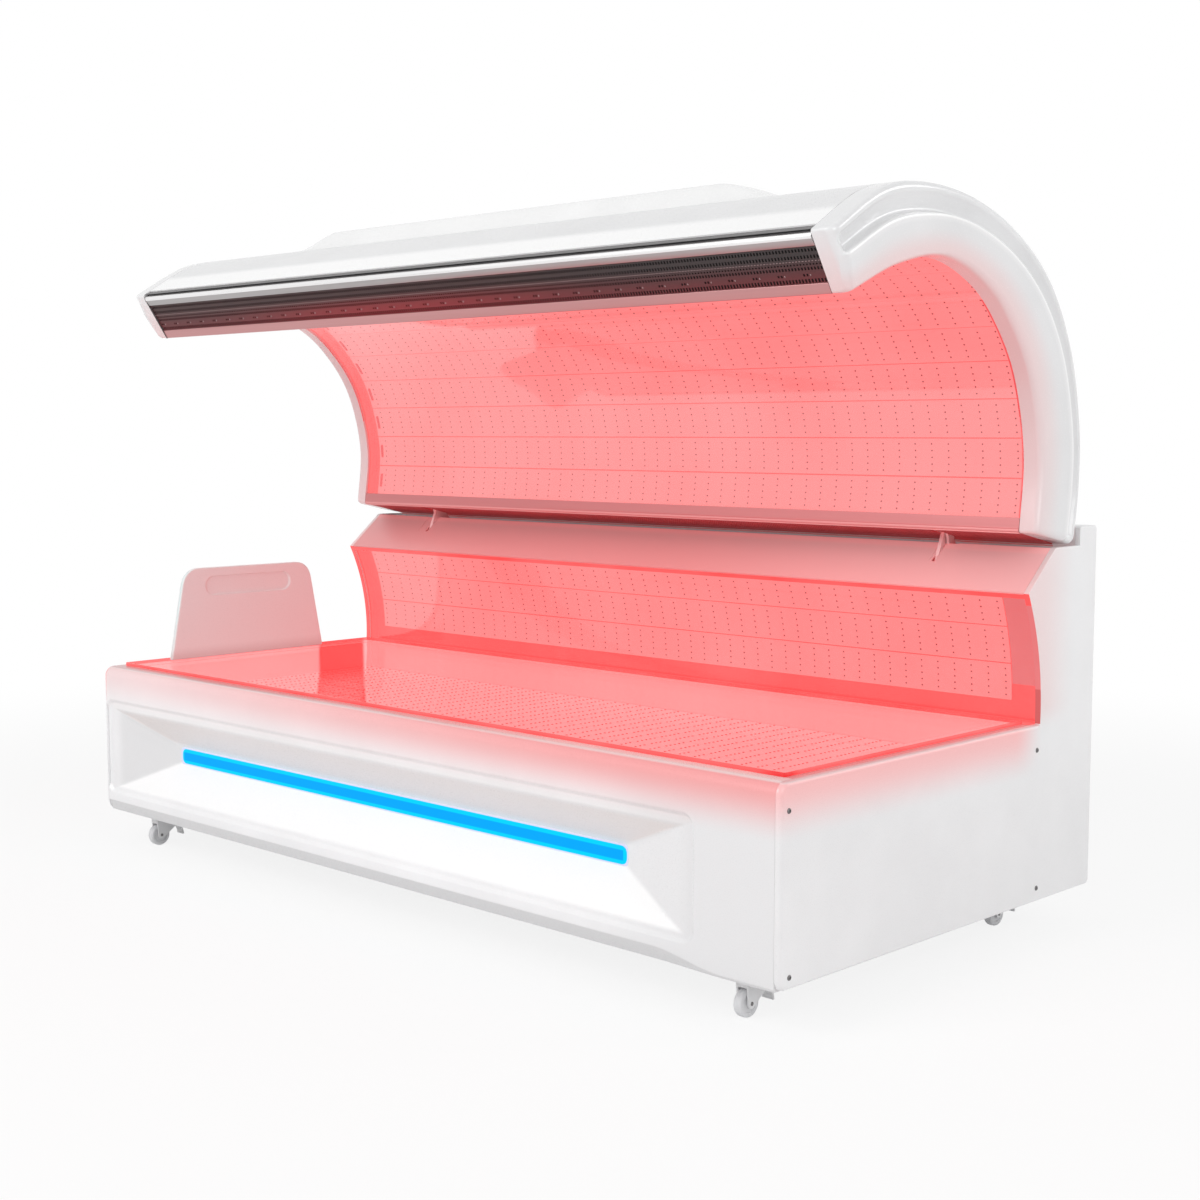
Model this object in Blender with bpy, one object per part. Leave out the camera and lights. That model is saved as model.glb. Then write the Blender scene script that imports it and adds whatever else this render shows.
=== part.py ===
"""Red light therapy bed: a light deck with a curved back panel, a hinged C-shaped light canopy, and casters.

Metres, +Z up. X runs along the bed, -Y is the open front. The origin is on the floor, under the middle.
Rises are measured from the underside of the base housing unless a name says otherwise.
"""

import math

import bmesh
import bpy
import numpy as np

# Base housing
LENGTH = 2.200  # over the two end panels
DEPTH = 1.070  # front fascia to rear panel
GROUND_CLEARANCE = 0.086  # floor to the underside of the housing
DECK_RISE = 0.370
END_WALL = 0.012
END_ROUND = 0.003
SHEET = 0.004  # folded and moulded covers
GAP = 0.0003  # seat clearance between neighbouring pieces

# Back light panel, a concave arc that stands on the deck, and the ledge over it
BACK_ARC_RADIUS = 0.546
BACK_ARC_LIFT = 0.030  # height above the deck where the arc stands upright
BACK_FOOT_SETBACK = 0.214  # rear panel to the arc where it stands upright
LEDGE_TIP_LIFT = 0.273  # deck to the top of the arc
LEDGE_CREST_LIFT = 0.360
LEDGE_CREST_SETBACK = 0.169
TROUGH_DROP = 0.018  # the trough behind the crest, which clears the canopy's heel
TROUGH_STEP = 0.008
UPSTAND_LIFT = 0.401
UPSTAND_DEPTH = 0.069
BACK_SHEET_DROP = 0.005  # tip of the ledge to the top of the curved sheet under it

# Front fascia with its tapered light recess
RECESS_LEFT = 0.040  # left end of the housing to the recess
RECESS_RIGHT = 0.225  # right end of the housing to the recess
RECESS_LOW = 0.060
RECESS_HIGH = 0.263
RECESS_DEPTH = 0.074
LIGHT_INSET = 0.2105  # end of the recess to the end of the light
LIGHT_HEIGHT = 0.034
LIGHT_RISE = 0.162
LIGHT_THICKNESS = 0.016
LIGHT_PROUD = 0.006
LIGHT_CORNER = 0.010
LIGHT_BOARD = 0.002
FOOT_CHAMFER = 0.020
FOOT_RETURN = 0.040
BROW_ROUND = 0.024  # rounding between the fascia's face and the deck
FASCIA_RETURN = 0.047  # how far the fascia's top runs back over the deck

# Deck
RIM_END = 0.058  # rim width at the ends of the light opening
RIM_FRONT = 0.038
RIM_REAR = 0.040
BED_SHEET = 0.008
BED_SHEET_END = 0.028  # housing end to the end of the clear bed sheet
BED_SHEET_FRONT = 0.046
BED_SHEET_REAR = 0.021
BED_SHEET_CORNER = 0.016
LED_DROP = 0.069  # deck to the top of the bed's light board
LED_BOARD = 0.006
BOARD_PLAY = 0.004  # rim opening to the light board's edges

# Headboard that stands on the clear sheet
HEADBOARD_SETBACK = 0.080  # left end of the housing to the middle of the board
HEADBOARD_FRONT = 0.1485  # fascia to the front corner of the board's foot
HEADBOARD_FOOT = 0.483
HEADBOARD_TOP = 0.386
HEADBOARD_HEIGHT = 0.235
HEADBOARD_THICKNESS = 0.012
HEADBOARD_CORNER = 0.035
GRIP_LENGTH = 0.270
GRIP_HEIGHT = 0.050
GRIP_DROP = 0.048  # top edge to the middle of the pressed grip
GRIP_DEPTH = 0.002

# Welded frame inside the base
FRAME_WALL = 0.004
FRAME_FLANGE = 0.040
FRAME_FRONT = 0.130  # fascia face to the lower ring, behind the light recess
UPPER_RING = 0.090
CROSS_RAILS = 3
PAN = 0.002
PAN_DROP = 0.010  # underside of the housing up to the ring that the pan hangs from

# Canopy hinge and its counterbalance struts
HINGE_BEHIND_CREST = 0.006
HINGE_ABOVE_CREST = 0.022
HINGE_SETBACK = 0.268  # housing end to the middle of each bracket plate
CLOSE_ANGLE = 48.0  # degrees from the open rest position down to closed
BRACKET = 0.008
BRACKET_FOOT = 0.150  # trough down to the bracket's foot on its post
BRACKET_NOSE = 0.033  # reach of the bracket ahead of the crest
KNUCKLE_RADIUS = 0.013
HINGE_PIN = 0.006
ARM = 0.006
SIDE_GAP = 0.003  # between bracket, arm and strut, along the hinge axis
PIN_PROUD = 0.002
LEVER_ROOT = 0.011
LEVER_TIP = 0.009
LEVER = (0.012, -0.110)  # hinge axis to the strut stud, open
STUD_RADIUS = 0.004
STRUT_ANCHOR_SETBACK = 0.125  # rear panel to the strut's lower pin
STRUT_ANCHOR_RISE = 0.140
STRUT_RADIUS = 0.011
ROD_RADIUS = 0.005
STRUT_LENGTH = 0.330
STRUT_BORE_FLOOR = 0.120  # lower pin to the bottom of the cylinder's bore
ROD_TAIL = 0.200  # lower pin to the inner end of the rod
ROD_PLAY = 0.0006
STRUT_EYE = 0.010
EYE_WALL = 0.004
ROD_EYE_PLAY = 0.007  # free play of the rod eye around the stud
POST = 0.040
POST_DROP = 0.012  # trough floor down to the post's top

# Canopy: end-on outlines about the hinge axis, (y, z), from the front lip over the top to the heel
CANOPY_OUTER = (
    (-0.791, 0.562), (-0.642, 0.645), (-0.502, 0.668), (-0.342, 0.655), (-0.192, 0.606),
    (-0.062, 0.520), (0.028, 0.388), (0.072, 0.228), (0.074, 0.098), (0.056, -0.017),
)
CANOPY_INNER = (
    (-0.724, 0.456), (-0.572, 0.516), (-0.422, 0.539), (-0.282, 0.498),
    (-0.186, 0.425), (-0.112, 0.320), (-0.072, 0.168), (-0.084, 0.012),
)
CANOPY_OVERHANG = 0.015  # end cap beyond the housing's end
CANOPY_STATIONS = 31
CAP_WIDTH = 0.055
CAP_EDGE = 0.012
CAP_BEVEL = 0.055  # band that slopes into the arch
CAP_BEVEL_DEPTH = 0.028
CAP_FLANGE = 0.040  # solid inner flange that carries the light strips
CAP_WALL = 0.006
CANOPY_SHEET = 0.005  # clear inner sheet
GROOVE = 0.008
UPPER_RAIL = 0.027
LOWER_RAIL = 0.020
RAIL_DEPTH = 0.018
GRILLE = 0.003
BOTTOM_RAIL = 0.042
BOTTOM_RAIL_THICKNESS = 0.010
CANOPY_BOARDS = 6  # each carries two light strips side by side
STRIP_DEPTH = 0.025  # inner face of the arch to the light strips
STRIP = 0.003
STRIP_SPACE = 0.003
STRIP_GROOVE = 0.0015  # depth of the groove between a board's two strips
BACK_STRIPS = 3
HINGE_SLOT = 0.046
HINGE_SLOT_OFFSET = 0.013
HINGE_SLOT_REACH = 0.044  # ledge's crest to the front end of its slot
HINGE_SLOT_DROP = 0.050  # trough floor down to the foot of the slot
ARM_SHARES = (0.86, 0.97)  # stretch of the shell that each hinge arm is fastened to
EDGE_SUNK = 0.002  # front and heel edges to their grilles
SHEET_PLAY = 0.0006  # clear sheet to the rails along its edges
STRIP_START = 0.040  # front rail to the first light strip
STRIP_END = 0.030  # last light strip to the heel

# Raised housing on the canopy's crown, and its fan
HOUSING_END = 0.385  # canopy end to the end of the raised housing
HOUSING_FRONT = -0.562  # from the hinge axis
HOUSING_REAR = -0.172
HOUSING_HEIGHT = 0.042
HOUSING_WALL = 0.003
HOUSING_RAMP = 0.120
HOUSING_SLOPE = 0.055
VENTS = 6
VENT = (0.080, 0.012)
VENT_PITCH = 0.110
FAN_SIDE = 0.120
FAN_THICKNESS = 0.025
FAN_BORE = 0.056
FAN_BLADE_RADIUS = 0.053
FAN_HUB = 0.019
FAN_AXLE = 0.003
FAN_BLADES = 7
FAN_Y = -0.422  # from the hinge axis
FAN_SPIDER = 0.003
BLADE_CHORD = 0.025
BLADE = 0.0016
BLADE_PITCH = 58.0

# Electrics
SUPPLY = (0.320, 0.180, 0.090)
SUPPLY_LEFT = 0.420  # middle of the base to the middle of the case
CONTROLLER = (0.240, 0.160, 0.060)
CONTROLLER_RIGHT = 0.300
CASES_FORWARD = 0.120
INLET_SETBACK = 0.200  # housing end to the middle of the inlet
INLET_RISE = 0.120
INLET = (0.048, 0.062)
INLET_FLANGE = 0.006
INLET_DEPTH = 0.028
INLET_SUNK = 0.001
SOCKET = (0.026, 0.022, 0.018)
ROCKER = (0.022, 0.014, 0.008)
ROCKER_PIVOT = 0.0015
ROCKER_PLAY = 0.0007
ROCKER_WELL = 0.004  # depth of the switch's well beyond the rocker
ROCKER_DISH = 0.0012
ROCKER_TILT = 10.0  # degrees from level to either side

# Casters
CASTER_SETBACK = 0.130  # housing end to the swivel axis
CASTER_FRONT = 0.090  # fascia to the swivel axis
CASTER_REAR = 0.145  # rear panel to the swivel axis
WHEEL_RADIUS = 0.027
WHEEL_WIDTH = 0.020
WHEEL_ROUND = 0.006
TRAIL = 0.020
AXLE_RADIUS = 0.004
RUNNING = 0.0005  # play of wheels, rotors and pins
CHEEK = 0.0035
HEAD_RADIUS = 0.022
HEAD_HEIGHT = 0.012
PEDAL_WIDTH = 0.026
PEDAL_REACH = 0.046
PEDAL_PIVOT = 0.017  # swivel axis to the pedal's pivot
PEDAL_PIVOT_RISE = 0.050
PEDAL_PIN = 0.0025
PEDAL_WALL = 0.0025
PEDAL_PLATE = 0.0035
PEDAL_DROP = 0.030
PEDAL_NECK = 0.0075  # pivot to where the tread widens past the cheeks
CROWN_REAR = 0.012  # fork crown behind the axle
CROWN_CLEARANCE = 0.003  # tread to the crown
SWIVEL_CLEARANCE = 0.0015  # turning crown to the underside of the housing
CHEEK_BOSS = 0.009
CHEEK_NOSE = 0.006

# Places that follow from the sizes above
HALF = LENGTH / 2
FRONT = -DEPTH / 2
REAR = DEPTH / 2
UNDER = GROUND_CLEARANCE
DECK = UNDER + DECK_RISE
INSIDE = HALF - END_WALL - GAP
FOOT_Y = REAR - BACK_FOOT_SETBACK
DECK_FRONT = FRONT + FASCIA_RETURN + GAP
DECK_REAR = FOOT_Y - 2 * GAP
CREST_Y = REAR - LEDGE_CREST_SETBACK
CREST_Z = DECK + LEDGE_CREST_LIFT
TIP_Z = DECK + LEDGE_TIP_LIFT
TROUGH_Z = CREST_Z - TROUGH_DROP
UPSTAND_Y = REAR - UPSTAND_DEPTH
UPSTAND_Z = DECK + UPSTAND_LIFT
HINGE_Y = CREST_Y + HINGE_BEHIND_CREST
HINGE_Z = CREST_Z + HINGE_ABOVE_CREST
ANCHOR_Y = REAR - STRUT_ANCHOR_SETBACK
ANCHOR_Z = UNDER + STRUT_ANCHOR_RISE
CANOPY_END = HALF + CANOPY_OVERHANG
SEAM_X = CANOPY_END - CAP_WIDTH
HINGE_X = HALF - HINGE_SETBACK
ARM_X = HINGE_X + BRACKET / 2 + SIDE_GAP + ARM / 2
STRUT_X = ARM_X + ARM / 2 + SIDE_GAP + ROD_RADIUS
POST_FACE = HINGE_X - BRACKET / 2 - GAP
RECESS = (RECESS_LEFT - HALF, HALF - RECESS_RIGHT)
LIGHT = (RECESS[0] + LIGHT_INSET, RECESS[1] - LIGHT_INSET)
LIGHT_Z = UNDER + LIGHT_RISE
INLET_X = HALF - INLET_SETBACK
INLET_Z = UNDER + INLET_RISE
HOUSING_HALF = CANOPY_END - HOUSING_END
CANOPY_INSIDE = SEAM_X - GAP
PAN_TOP = UNDER + PAN_DROP - GAP
SUPPORT_Z = DECK - LED_DROP - LED_BOARD - GAP
CHEEK_IN = WHEEL_WIDTH / 2 + RUNNING
CHEEK_OUT = CHEEK_IN + CHEEK

COLOURS = {
    "white_shell": ((0.90, 0.90, 0.90), 0.35, 0.0),
    "clear_acrylic": ((0.95, 0.45, 0.45), 0.08, 0.0),
    "light_board": ((0.95, 0.55, 0.55), 0.40, 0.0),
    "blue_light": ((0.00, 0.55, 1.00), 0.25, 0.0),
    "aluminium_rail": ((0.70, 0.70, 0.71), 0.28, 1.0),
    "dark_grille": ((0.05, 0.045, 0.045), 0.50, 0.6),
    "painted_steel": ((0.60, 0.61, 0.62), 0.45, 0.6),
    "case_aluminium": ((0.66, 0.67, 0.68), 0.40, 0.9),
    "caster_plastic": ((0.74, 0.75, 0.76), 0.45, 0.0),
    "wheel_tread": ((0.66, 0.67, 0.68), 0.60, 0.0),
    "black_plastic": ((0.03, 0.03, 0.03), 0.45, 0.0),
    "strut_steel": ((0.55, 0.56, 0.58), 0.22, 1.0),
}


def clear_scene():
    for obj in list(bpy.data.objects):
        bpy.data.objects.remove(obj, do_unlink=True)


def material(finish):
    """The Principled material of one finish, made once."""
    found = bpy.data.materials.get(finish)
    if found:
        return found
    colour, roughness, metallic = COLOURS[finish]
    made = bpy.data.materials.new(finish)
    made.use_nodes = True
    shader = made.node_tree.nodes["Principled BSDF"]
    shader.inputs["Base Color"].default_value = (*colour, 1.0)
    shader.inputs["Roughness"].default_value = roughness
    shader.inputs["Metallic"].default_value = metallic
    made.diffuse_color = (*colour, 1.0)
    return made


def add_mesh(name, bm, finish=None):
    """A linked object of this mesh. Without a finish it is a helper, left out of the part."""
    bmesh.ops.recalc_face_normals(bm, faces=bm.faces[:])
    mesh = bpy.data.meshes.new(name)
    bm.to_mesh(mesh)
    bm.free()
    obj = bpy.data.objects.new(name, mesh)
    bpy.context.scene.collection.objects.link(obj)
    if finish:
        mesh.materials.append(material(finish))
        mesh.shade_smooth()
        mesh.set_sharp_from_angle(angle=math.radians(35))
    else:
        obj.hide_render = True
        obj.display_type = "WIRE"
    return obj


def faces_mesh(name, points, faces, finish=None):
    bm = bmesh.new()
    corners = [bm.verts.new(point) for point in points]
    for face in faces:
        bm.faces.new([corners[i] for i in face])
    return add_mesh(name, bm, finish)


def loft(name, loops, finish=None, closed=False):
    """Skin over loops with the same number of points. The end loops are filled, or joined to each other."""
    count = len(loops[0])
    points = [tuple(map(float, point)) for loop in loops for point in loop]
    faces = []
    rows = len(loops)
    for row in range(rows if closed else rows - 1):
        here, there = row * count, (row + 1) % rows * count
        for i in range(count):
            j = (i + 1) % count
            faces.append((here + i, here + j, there + j, there + i))
    if not closed:
        faces.append(tuple(range(count)))
        faces.append(tuple(range((rows - 1) * count, rows * count)))
    return faces_mesh(name, points, faces, finish)


def prism(name, outline, low_x, high_x, finish=None):
    """An end-on outline of (y, z) points carried along X."""
    return loft(name, [[(x, y, z) for y, z in outline] for x in (low_x, high_x)], finish)


def box(name, low, high, finish=None):
    outline = ((low[1], low[2]), (high[1], low[2]), (high[1], high[2]), (low[1], high[2]))
    return prism(name, outline, low[0], high[0], finish)


def ring_section(name, section, segments, finish=None):
    """A closed (radius, along) section turned about the X axis through the object's origin."""
    loops = []
    for angle in np.linspace(0, 2 * math.pi, segments, endpoint=False):
        c, s = math.cos(angle), math.sin(angle)
        loops.append([(along, radius * c, radius * s) for radius, along in section])
    return loft(name, loops, finish, closed=True)


def rod(name, radius, start, end, segments=16, finish=None):
    """A round bar between two points."""
    start, end = np.array(start, float), np.array(end, float)
    along = (end - start) / np.linalg.norm(end - start)
    side = np.cross(along, (0.0, 1.0, 0.0) if abs(along[1]) < 0.9 else (0.0, 0.0, 1.0))
    side /= np.linalg.norm(side)
    other = np.cross(along, side)
    angles = np.linspace(0, 2 * math.pi, segments, endpoint=False)
    circle = [radius * (math.cos(a) * side + math.sin(a) * other) for a in angles]
    return loft(name, [[start + point for point in circle], [end + point for point in circle]], finish)


def boolean(obj, other, operation):
    modifier = obj.modifiers.new(operation.lower(), "BOOLEAN")
    modifier.operation = operation
    modifier.solver = "EXACT"
    modifier.object = other
    return obj


def fuse(obj, *others):
    for other in others:
        boolean(obj, other, "UNION")
    return obj


def cut(obj, *others):
    for other in others:
        boolean(obj, other, "DIFFERENCE")
    return obj


def bevel(obj, width, segments=2, angle=30.0):
    modifier = obj.modifiers.new("bevel", "BEVEL")
    modifier.width = width
    modifier.segments = segments
    modifier.limit_method = "ANGLE"
    modifier.angle_limit = math.radians(angle)
    return obj


def circle(centre, radius, segments=20):
    angles = np.linspace(0, 2 * math.pi, segments, endpoint=False)
    return [(centre[0] + radius * math.cos(a), centre[1] + radius * math.sin(a)) for a in angles]


def hull(points):
    """Convex outline round the points, counter-clockwise."""
    points = sorted(set((round(float(y), 7), round(float(z), 7)) for y, z in points))

    def half(ordered):
        chain = []
        for p in ordered:
            while len(chain) > 1:
                (ay, az), (by, bz) = chain[-2], chain[-1]
                if (by - ay) * (p[1] - az) - (bz - az) * (p[0] - ay) > 1e-9:
                    break
                chain.pop()
            chain.append(p)
        return chain[:-1]

    return half(points) + half(points[::-1])


def thickened(line, thickness):
    """Closed outline of a bent sheet: the line and its copy on its right, with mitred bends."""
    line = np.array(line, float)
    steps = np.diff(line, axis=0)
    steps /= np.linalg.norm(steps, axis=1)[:, None]
    normals = np.stack([steps[:, 1], -steps[:, 0]], axis=1)
    ends = np.concatenate([normals[:1], normals[:-1] + normals[1:], normals[-1:]])
    first = np.concatenate([normals[:1], normals])
    ends /= np.sum(ends * first, axis=1)[:, None]
    return [tuple(p) for p in line] + [tuple(p) for p in (line + thickness * ends)[::-1]]


def spline(points, per_span=16):
    """Dense Catmull-Rom curve through the points, with each point's share of the curve's length."""
    points = np.array(points, float)
    padded = np.concatenate([[2 * points[0] - points[1]], points, [2 * points[-1] - points[-2]]])
    u = np.linspace(0, 1, per_span, endpoint=False)[:, None]
    spans = []
    for a, b, c, d in zip(padded, padded[1:], padded[2:], padded[3:]):
        spans.append(0.5 * (2 * b + (c - a) * u + (2 * a - 5 * b + 4 * c - d) * u**2
                            + (3 * b - a - 3 * c + d) * u**3))
    dense = np.concatenate(spans + [points[-1:]])
    run = np.concatenate([[0.0], np.cumsum(np.linalg.norm(np.diff(dense, axis=0), axis=1))])
    return dense, run


INNER_CURVE, INNER_RUN = spline(CANOPY_INNER)
OUTER_CURVE, OUTER_RUN = spline(CANOPY_OUTER)


def on_curve(curve, run, share):
    at = share * run[-1]
    return np.array([np.interp(at, run, curve[:, 0]), np.interp(at, run, curve[:, 1])]) + (HINGE_Y, HINGE_Z)


def canopy_inside(share, depth=0.0):
    """Point this deep in the canopy wall from its inner face. share is 0 at the lip and 1 at the heel."""
    inner, outer = on_curve(INNER_CURVE, INNER_RUN, share), on_curve(OUTER_CURVE, OUTER_RUN, share)
    return inner + depth * (outer - inner) / np.linalg.norm(outer - inner)


def canopy_outside(share, depth=0.0):
    """Point this deep in the canopy wall from its outer face."""
    inner, outer = on_curve(INNER_CURVE, INNER_RUN, share), on_curve(OUTER_CURVE, OUTER_RUN, share)
    return outer + depth * (inner - outer) / np.linalg.norm(outer - inner)


def canopy_sweep(name, shares, section, finish=None):
    """section(share) gives (x, (y, z)) corners at a place along the canopy's outline."""
    return loft(name, [[(x, *point) for x, point in section(share)] for share in shares], finish)


def canopy_layer(name, shares, near, far, finish, half=CANOPY_INSIDE):
    """A sheet between two depth functions of the share, across the canopy's length."""
    def section(share):
        a, b = near(share), far(share)
        return [(-half, a), (half, a), (half, b), (-half, b)]
    return canopy_sweep(name, shares, section, finish)


def back_arc_y(z):
    """Front face of the back light panel at a height."""
    upright_z = DECK + BACK_ARC_LIFT
    return FOOT_Y - BACK_ARC_RADIUS + math.sqrt(BACK_ARC_RADIUS**2 - (z - upright_z) ** 2)


def back_arc(low, high, count=12):
    return [(back_arc_y(z), z) for z in np.linspace(low, high, count)]


def back_arc_behind(y, z, depth):
    """The point this far behind the arc, along the arc's own radius."""
    centre = np.array([FOOT_Y - BACK_ARC_RADIUS, DECK + BACK_ARC_LIFT])
    radial = np.array([y, z]) - centre
    return tuple(np.array([y, z]) + depth * radial / np.linalg.norm(radial))


def ledge_line():
    """Ledge, trough and upstand from the tip over the back light panel to the rear panel."""
    return [
        (back_arc_y(TIP_Z), TIP_Z), (CREST_Y, CREST_Z), (CREST_Y + TROUGH_STEP, TROUGH_Z),
        (UPSTAND_Y, TROUGH_Z), (UPSTAND_Y, UPSTAND_Z), (REAR, UPSTAND_Z),
    ]


def make_end_panels():
    outline = [(FRONT, UNDER), (REAR, UNDER)] + ledge_line()[::-1]
    outline += back_arc(DECK, TIP_Z)[-2::-1] + [(FRONT + BROW_ROUND, DECK), (FRONT, DECK - BROW_ROUND)]
    for side, low in (("left", -HALF), ("right", HALF - END_WALL)):
        panel = prism(f"{side}_end_panel", outline, low, low + END_WALL, "white_shell")
        bevel(panel, END_ROUND, 2, 60)


def rectangle(ends, y, low, high):
    """Corners of an upright rectangle that faces the front."""
    return [(ends[0], y, low), (ends[1], y, low), (ends[1], y, high), (ends[0], y, high)]


def make_fascia():
    """Front cover: a tapered recess leads in to the light's slot, the brow turns over the deck."""
    low, high = UNDER + FOOT_CHAMFER, DECK - BROW_ROUND
    points = rectangle((-INSIDE, INSIDE), FRONT, low, high)
    points += rectangle(RECESS, FRONT, UNDER + RECESS_LOW, UNDER + RECESS_HIGH)
    half = LIGHT_HEIGHT / 2 + GAP
    slot = (LIGHT[0] - GAP, LIGHT[1] + GAP)
    points += rectangle(slot, FRONT + RECESS_DEPTH, LIGHT_Z - half, LIGHT_Z + half)
    faces = [(i + r, (i + 1) % 4 + r, (i + 1) % 4 + r + 4, i + r + 4) for r in (0, 4) for i in range(4)]
    brow = [(FRONT + BROW_ROUND * (1 - math.cos(a)), high + BROW_ROUND * math.sin(a))
            for a in np.linspace(0, math.pi / 2, 5)[1:]]
    brow.append((FRONT + FASCIA_RETURN, DECK))
    foot = [(FRONT + FOOT_CHAMFER, UNDER), (FRONT + FOOT_CHAMFER + FOOT_RETURN, UNDER)]
    for edge, line in (((3, 2), brow), ((0, 1), foot)):
        left, right = edge
        for y, z in line:
            points += [(-INSIDE, y, z), (INSIDE, y, z)]
            faces.append((left, right, len(points) - 1, len(points) - 2))
            left, right = len(points) - 2, len(points) - 1
    fascia = faces_mesh("front_fascia", points, faces, "white_shell")
    outward = fascia.data.polygons[0].normal.y < 0
    wall = fascia.modifiers.new("wall", "SOLIDIFY")
    wall.thickness = SHEET
    wall.offset = -1 if outward else 1
    wall.use_even_offset = True


def make_front_light():
    """Blue diffuser bar in the recess slot, and the light board right behind it."""
    ends = (LIGHT[0] + LIGHT_CORNER, LIGHT[1] - LIGHT_CORNER)
    half = LIGHT_HEIGHT / 2 - LIGHT_CORNER
    corners = [(x, LIGHT_Z + side * half) for x in ends for side in (-1, 1)]
    outline = hull([p for c in corners for p in circle(c, LIGHT_CORNER, 16)])
    near = FRONT + RECESS_DEPTH - LIGHT_PROUD
    far = near + LIGHT_THICKNESS
    loft("front_light_diffuser", [[(x, y, z) for x, z in outline] for y in (near, far)], "blue_light")
    low = (ends[0], far + GAP, LIGHT_Z - half)
    box("front_light_board", low, (ends[1], far + GAP + LIGHT_BOARD, LIGHT_Z + half), "light_board")


def inlet_box(name, size, low_y, high_y, grow=0.0, rise=INLET_Z, finish=None):
    """A box on the inlet's centre line, (width, height) in size, grown evenly all round."""
    half_x, half_z = size[0] / 2 + grow, size[1] / 2 + grow
    low = (INLET_X - half_x, low_y, rise - half_z)
    return box(name, low, (INLET_X + half_x, high_y, rise + half_z), finish)


def make_rear_panel():
    low_y = REAR - SHEET
    top = UPSTAND_Z - SHEET - GAP
    panel = box("rear_panel", (-INSIDE, low_y, UNDER), (INSIDE, REAR, top), "white_shell")
    cut(panel, inlet_box("inlet_cutter", INLET, low_y - SHEET, REAR + SHEET, GAP))


def make_inlet():
    """Appliance inlet with a rocker over its socket, flush with the rear panel."""
    face = REAR - INLET_SUNK
    flange = REAR - SHEET - GAP
    out = REAR + SHEET
    body = inlet_box("power_inlet", INLET, REAR - INLET_DEPTH, face, finish="black_plastic")
    fuse(body, inlet_box("inlet_flange", INLET, flange - SHEET, flange, INLET_FLANGE))
    socket_z, rocker_z = INLET_Z - INLET[1] / 4, INLET_Z + INLET[1] / 4
    cut(body, inlet_box("socket_cutter", SOCKET, face - SOCKET[2], out, rise=socket_z))
    well = face - ROCKER[2] - ROCKER_WELL
    cut(body, inlet_box("rocker_well", ROCKER, well, out, ROCKER_PLAY, rocker_z))
    pivot_y = face - (ROCKER[2] + ROCKER_WELL) / 2
    reach = (ROCKER[0], 0, 0)
    pin = rod("rocker_pin", ROCKER_PIVOT, (-reach[0], 0, 0), reach, 12)
    half_y, half_z = ROCKER[2] / 2, 0.45 * ROCKER[1]
    outline = [(-half_y, -half_z), (half_y, -half_z), (half_y - ROCKER_DISH, 0.0), (half_y, half_z),
               (-half_y, half_z)]
    rocker = prism("power_switch_rocker", outline, -ROCKER[0] / 2, ROCKER[0] / 2, "black_plastic")
    bore = rod("rocker_bore", ROCKER_PIVOT + RUNNING, (-reach[0], 0, 0), reach, 12)
    for obj in (rocker, bore, pin):
        obj.location = (INLET_X, pivot_y, rocker_z)
        obj.rotation_euler.x = -math.radians(ROCKER_TILT)
    fuse(body, pin)
    cut(rocker, bore)


def make_ledge_cover():
    line = ledge_line()
    line[0] = (line[0][0], line[0][1] + GAP)
    cover = prism("ledge_cover", thickened(line, SHEET), -INSIDE, INSIDE, "white_shell")
    for side in (-1, 1):
        middle = side * (HINGE_X + HINGE_SLOT_OFFSET)
        low = (middle - HINGE_SLOT / 2, CREST_Y - HINGE_SLOT_REACH, TROUGH_Z - HINGE_SLOT_DROP)
        high = (middle + HINGE_SLOT / 2, UPSTAND_Y - SHEET, UPSTAND_Z)
        cut(cover, box(f"ledge_slot_{side}", low, high))


def make_deck():
    low_y, high_y = DECK_FRONT, DECK_REAR
    rim = box("deck_rim", (-INSIDE, low_y, DECK - SHEET), (INSIDE, high_y, DECK), "white_shell")
    opening_low = (-INSIDE + RIM_END, low_y + RIM_FRONT, DECK - 2 * SHEET)
    opening_high = (INSIDE - RIM_END, high_y - RIM_REAR, DECK + SHEET)
    cut(rim, box("deck_opening", opening_low, opening_high))
    half = HALF - BED_SHEET_END - BED_SHEET_CORNER
    near, far = FRONT + BED_SHEET_FRONT + BED_SHEET_CORNER, FOOT_Y - BED_SHEET_REAR - BED_SHEET_CORNER
    corners = [(x, y) for x in (-half, half) for y in (near, far)]
    outline = hull([p for c in corners for p in circle(c, BED_SHEET_CORNER, 16)])
    levels = (DECK + GAP, DECK + GAP + BED_SHEET)
    loft("bed_acrylic", [[(x, y, z) for x, y in outline] for z in levels], "clear_acrylic")
    board_top = DECK - LED_DROP
    low = (opening_low[0] + BOARD_PLAY, opening_low[1] + BOARD_PLAY, board_top - LED_BOARD)
    high = (opening_high[0] - BOARD_PLAY, opening_high[1] - BOARD_PLAY, board_top)
    box("bed_led_board", low, high, "light_board")


def make_back_light():
    """Concave clear sheet, and light strips that span the end panels behind it."""
    low, high = DECK + GAP, TIP_Z - BACK_SHEET_DROP
    front = back_arc(low, high, 14)
    behind = [back_arc_behind(y, z, CANOPY_SHEET) for y, z in front]
    prism("back_acrylic", front + behind[::-1], -INSIDE, INSIDE, "clear_acrylic")
    pitch = (high - low) / BACK_STRIPS
    for index in range(BACK_STRIPS):
        base = low + index * pitch
        line = back_arc(base + STRIP_SPACE, base + pitch - STRIP_SPACE, 4)
        near = [back_arc_behind(y, z, STRIP_DEPTH) for y, z in line]
        far = [back_arc_behind(y, z, STRIP_DEPTH + STRIP) for y, z in line]
        prism(f"back_led_strip_{index + 1}", near + far[::-1], -INSIDE, INSIDE, "light_board")


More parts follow.
